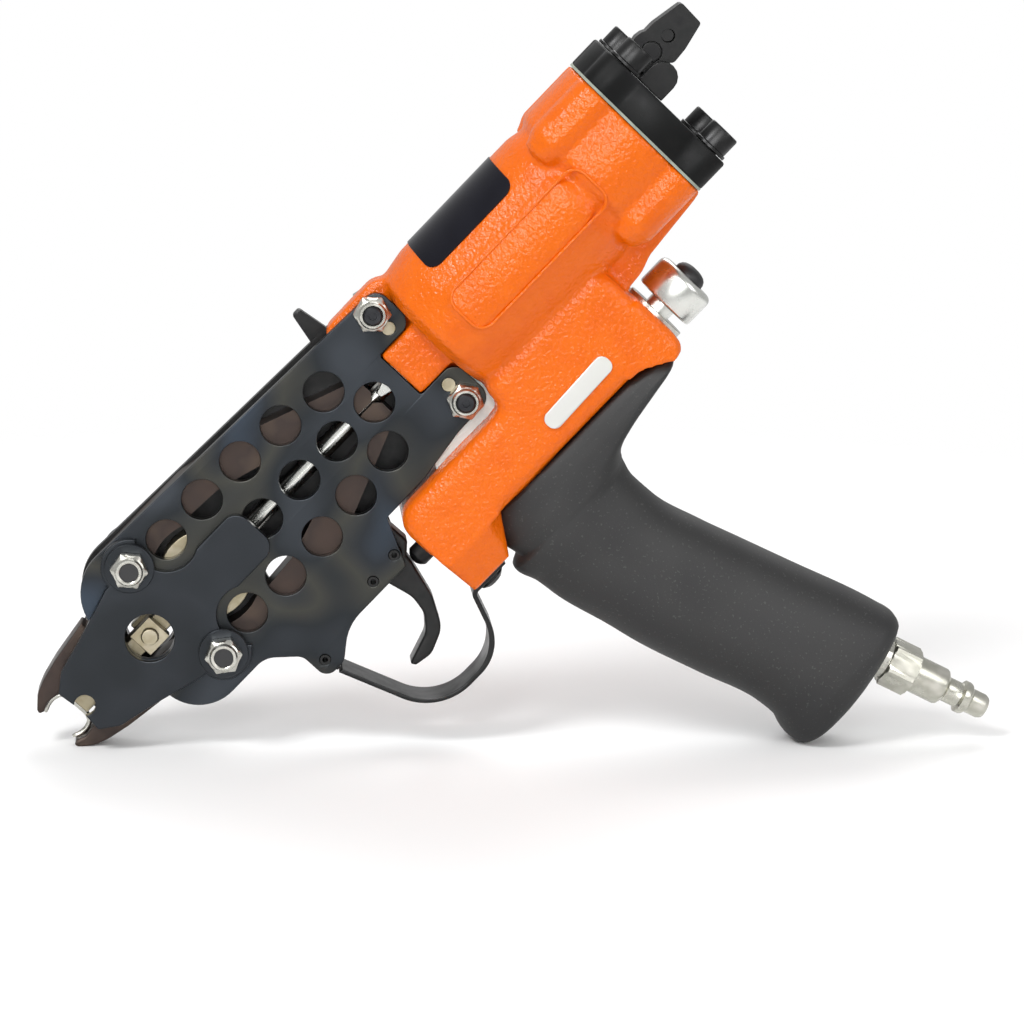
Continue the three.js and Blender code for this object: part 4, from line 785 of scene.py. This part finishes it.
def orangeCasting():
    mesh = nodes["housing"].data.copy()
    weld(mesh)
    work = bmesh.new()
    work.from_mesh(mesh)
    for name, points in (("added", prismPoints(web)), ("added", prismPoints(lip)), ("chin", chinPoints())):
        work.from_mesh(gridMesh(name, points))
    work.to_mesh(mesh)
    work.free()
    holder = bpy.data.objects.new("casting_work", mesh)
    scene.collection.objects.link(holder)
    recast = holder.modifiers.new("recast", "REMESH")
    recast.mode = "VOXEL"
    recast.voxel_size = casting["cell"]
    relax = holder.modifiers.new("relax", "SMOOTH")
    relax.factor = casting["factor"]
    relax.iterations = casting["relax"]
    bpy.context.view_layer.update()
    finished = bpy.data.meshes.new_from_object(holder.evaluated_get(bpy.context.evaluated_depsgraph_get()))
    bpy.data.objects.remove(holder)
    drawBreechIn(finished)
    place("orange_casting", finished, "wrinkleEnamel", "orange_paint", "frame", "housing", sharp=180)


# Bead round the raised panel: a fine round section along a rounded rectangle laid on the barrel
bead = {"from": 126.4, "to": 181.6, "high": 20.6, "low": -14.2, "corner": 4.6, "half": 0.5, "on": 25.95,
        "rise": (175.5, 179), "breech": 26.35}


def panelBead():
    span = math.radians(bead["high"]) * bead["on"], math.radians(bead["low"]) * bead["on"]
    loop = rounded([(bead["from"], span[0], bead["corner"]), (bead["from"], span[1], bead["corner"]),
                    (bead["to"], span[1], bead["corner"]), (bead["to"], span[0], bead["corner"])], 10)
    sides = np.linalg.norm(np.diff(np.vstack([loop, loop[:1]]), axis=0), axis=1)
    reach = np.concatenate([[0], np.cumsum(sides)])
    at = np.linspace(0, reach[-1], 260, endpoint=False)
    x = np.interp(at, reach, np.append(loop[:, 0], loop[0, 0]))
    s = np.interp(at, reach, np.append(loop[:, 1], loop[0, 1]))
    run = np.roll(np.stack([x, s]), -1, axis=1) - np.roll(np.stack([x, s]), 1, axis=1)
    run /= np.linalg.norm(run, axis=0)
    turn = fullTurn(12)
    out = bead["half"] * np.cos(turn)[None, :]
    height = np.interp(x, bead["rise"], (bead["on"], bead["breech"]))
    radius = height[:, None] + bead["half"] * np.sin(turn)[None, :]
    x = x[:, None] - run[1][:, None] * out
    angle = (s[:, None] + run[0][:, None] * out) / bead["on"]
    points = asPoints(x, -radius * np.cos(angle), radius * np.sin(angle))
    place("panel_bead", gridMesh("panel_bead", points, closed=True), "wrinkleEnamel", "orange_paint", "frame",
          sharp=80)


# Blank foil over the top of the barrel: a strip of cylinder that stands just above the enamel. Its corners
# are round: near its ends the strip narrows as a quarter circle does.
foil = {"from": 129, "to": 164.5, "low": 41, "radius": 25.12, "wall": 0.22, "sunk": 0.6, "corner": 4}


def blankFoil():
    bend = foil["corner"]
    corner = bend * (1 - np.cos(np.radians(np.linspace(0, 90, 12))))
    x = np.concatenate([foil["from"] + corner, np.linspace(foil["from"] + bend, foil["to"] - bend, 20)[1:-1],
                        foil["to"] - corner[::-1]])
    past = np.clip(bend - np.minimum(x - foil["from"], foil["to"] - x), 0, bend)
    inset = np.degrees((bend - np.sqrt(bend**2 - past**2)) / foil["radius"])
    low = foil["low"] + inset[:, None]
    angle = np.radians(low + (180 - 2 * low) * np.linspace(0, 1, 60)[None, :])
    under, over = (asPoints(x[:, None], -radius * np.cos(angle), radius * np.sin(angle))
                   for radius in (foil["radius"] - foil["sunk"], foil["radius"] + foil["wall"]))
    points = np.concatenate([over, under[:, ::-1]], axis=1)
    place("blank_foil", gridMesh("blank_foil", points), "blankFoil", "black_oxide", "frame")


# Blank plate on the near side of the valve body
tag = {"near": -17.85, "far": -17.1, "edge": 0.12,
       "corners": [(118.9, -38.6, 2.6), (146.1, -37.6, 2.6), (146.4, -43.6, 2.6), (119.4, -44.4, 2.6)]}


def blankPlate():
    platePiece("blank_plate", [rounded(tag["corners"])], tag["near"], tag["far"], tag["edge"], "blankPlate",
               "zinc_plate", "frame")


sidePlates()
facedStrip()
noseCovers()
fasteners()
print("plates, covers and bolts made")
gripSurface()
airPlug()
speedKnob()
capAndGasket()
capScrews()
hangerRivet()
guardStrip()
triggerLever()
waitingRing()
print("grip, plug, knob, guard and trigger made")
jaws()
orangeCasting()
panelBead()
blankFoil()
blankPlate()
print("casting made")

# Solids whose shape is right: edges broken, each with its finish
edges = {"ring_guide": (0.3, "bareSteel"), "wedge": (0.3, "satinChrome"),
         "guide_stud": (0.25, "bareSteel"), "square_nut": (0.3, "bareSteel"),
         "hanger_bracket": (0.4, "blackOxide"), "hanger_lever": (0.45, "blackOxide"),
         "hanger_pin": (0.2, "blackOxide"), "guard_screw": (0.2, "blackOxide"),
         "valve_stem": (0.2, "blackOxide")}
for node, (edge, finish) in edges.items():
    brokenEdges(node, edge, finish)

# Solids that hardly show keep their shape and take their finish
kept = {"upper_jaw_bush": "turnedBronze", "lower_jaw_bush": "turnedBronze", "upper_dowel": "bareSteel",
        "lower_dowel": "bareSteel", "trigger_pin": "blackOxide", "stop_pin": "blackOxide",
        "guard_pin": "blackOxide", "piston_rod": "satinChrome", "piston": "bareSteel",
        "piston_seal": "smoothRubber", "rod_nut": "zincPlate", "rod_bush": "turnedBronze",
        "bumper": "smoothRubber", "inlet_seal": "zincPlate"}
for node, finish in kept.items():
    nodes[node].data.materials.clear()
    nodes[node].data.materials.append(materials[finish])
print("solids finished")

# Camera of the photograph, worked out from the holes, bolts and outline: azimuth, height and distance
# from a point between jaws and grip, then the same turn that levels the tool
view = {"azimuth": -4.5, "elevation": 12.71, "distance": 1117.5, "focal": 3632, "frame": 1024,
        "toolOrigin": (-103.2, 0, -26.34), "toolTilt": 45.924}


def photographCamera():
    a, e = math.radians(view["azimuth"]), math.radians(view["elevation"])
    eye = Vector((math.sin(a) * math.cos(e), -math.cos(a) * math.cos(e), math.sin(e))) * view["distance"]
    aim = (-eye).to_track_quat("-Z", "Y").to_matrix().to_4x4()
    levelling = Matrix.Rotation(-math.radians(stance["tilt"] - view["toolTilt"]), 4, "Y")
    carry = Matrix.Translation(stance["place"]) @ levelling @ Matrix.Translation(-Vector(view["toolOrigin"]))
    whole = carry @ Matrix.Translation(eye) @ aim
    whole.translation /= 1000
    lens = bpy.data.cameras.new("photograph")
    lens.sensor_width = 36
    lens.lens = view["focal"] / view["frame"] * lens.sensor_width
    lens.clip_start = 0.05
    camera = bpy.data.objects.new("photograph", lens)
    camera.matrix_world = whole
    scene.collection.objects.link(camera)
    scene.camera = camera


# Studio: one lamp high on the left, a fill on the right, one behind and one in front, each with its place,
# size and power. Matt surfaces and reflections see a dimmer world than the camera, with a softbox on it.
aimed = (0, 0, 0.1)
lamps = {"key": ((-0.75, -0.75, 1.2), 0.45, 12), "fill": ((0.9, -0.8, 0.5), 0.6, 3.5),
         "rim": ((0.2, 0.9, 1.0), 0.8, 7), "front": ((-0.25, -1.35, 0.8), 0.4, 3.5)}
world = {"soft": 0.5, "mirrored": 0.56}
softbox = {"towards": (-0.1, -0.96, 0.26), "inner": 5, "outer": 20, "strength": 9.0}
floorFade = {"from": 0.26, "to": 0.52, "half": 2, "colour": "#fafafa"}
plainWhite = (1, 1, 1, 1)


# White paper that fades into the white around it, away from the tool
def paleFloor():
    paper = withoutNodes(bpy.data.materials.new("paleFloor"))
    where = addNode(paper, "ShaderNodeTexCoord").outputs["Object"]
    away = addNode(paper, "ShaderNodeVectorMath", {"operation": "LENGTH"}, links={"Vector": where})
    fade = addNode(paper, "ShaderNodeMapRange", {"interpolation_type": "SMOOTHSTEP"},
                   {"From Min": floorFade["from"], "From Max": floorFade["to"]},
                   {"Value": away.outputs["Value"]})
    matt = addNode(paper, "ShaderNodeBsdfDiffuse", values={"Color": linear(floorFade["colour"])})
    clear = addNode(paper, "ShaderNodeBsdfTransparent")
    both = addNode(paper, "ShaderNodeMixShader", links={"Fac": fade.outputs["Result"],
                   1: matt.outputs["BSDF"], 2: clear.outputs["BSDF"]})
    addNode(paper, "ShaderNodeOutputMaterial", links={"Surface": both.outputs["Shader"]})
    return paper


def studio():
    for name, (spot, size, power) in lamps.items():
        light = bpy.data.lights.new(name, "AREA")
        light.size = size
        light.energy = power
        lamp = bpy.data.objects.new(name, light)
        lamp.location = spot
        lamp.rotation_euler = (Vector(aimed) - Vector(spot)).to_track_quat("-Z", "Y").to_euler()
        scene.collection.objects.link(lamp)
    mesh = bpy.data.meshes.new("floor")
    half = floorFade["half"]
    mesh.from_pydata([(-half, -half, 0), (half, -half, 0), (half, half, 0), (-half, half, 0)], [],
                     [(0, 1, 2, 3)])
    floor = bpy.data.objects.new("floor", mesh)
    scene.collection.objects.link(floor)
    mesh.materials.append(paleFloor())
    white = withoutNodes(bpy.data.worlds.new("studio"))
    scene.world = white
    ray = addNode(white, "ShaderNodeLightPath")
    soft = addNode(white, "ShaderNodeBackground", values={"Color": plainWhite, "Strength": world["soft"]})
    # Reflections also see a softbox: a bright round spot of the world, soft at its edge
    toBox = addNode(white, "ShaderNodeVectorMath", {"operation": "DOT_PRODUCT"},
                    {1: Vector(softbox["towards"]).normalized()},
                    {0: addNode(white, "ShaderNodeTexCoord").outputs["Generated"]})
    inBox = addNode(white, "ShaderNodeMapRange", {"interpolation_type": "SMOOTHSTEP"},
                    {"From Min": math.cos(math.radians(softbox["outer"])),
                     "From Max": math.cos(math.radians(softbox["inner"])),
                     "To Min": world["mirrored"], "To Max": softbox["strength"]},
                    {"Value": toBox.outputs["Value"]})
    mirrored = addNode(white, "ShaderNodeBackground", values={"Color": plainWhite},
                       links={"Strength": inBox.outputs["Result"]})
    seen = addNode(white, "ShaderNodeBackground", values={"Color": plainWhite, "Strength": 1.0})
    lit = addNode(white, "ShaderNodeMixShader", links={"Fac": ray.outputs["Is Glossy Ray"],
                  1: soft.outputs["Background"], 2: mirrored.outputs["Background"]})
    both = addNode(white, "ShaderNodeMixShader", links={"Fac": ray.outputs["Is Camera Ray"],
                   1: lit.outputs["Shader"], 2: seen.outputs["Background"]})
    addNode(white, "ShaderNodeOutputWorld", links={"Surface": both.outputs["Shader"]})
    scene.view_settings.view_transform = "Standard"


photographCamera()
studio()
print("camera and lamps set")
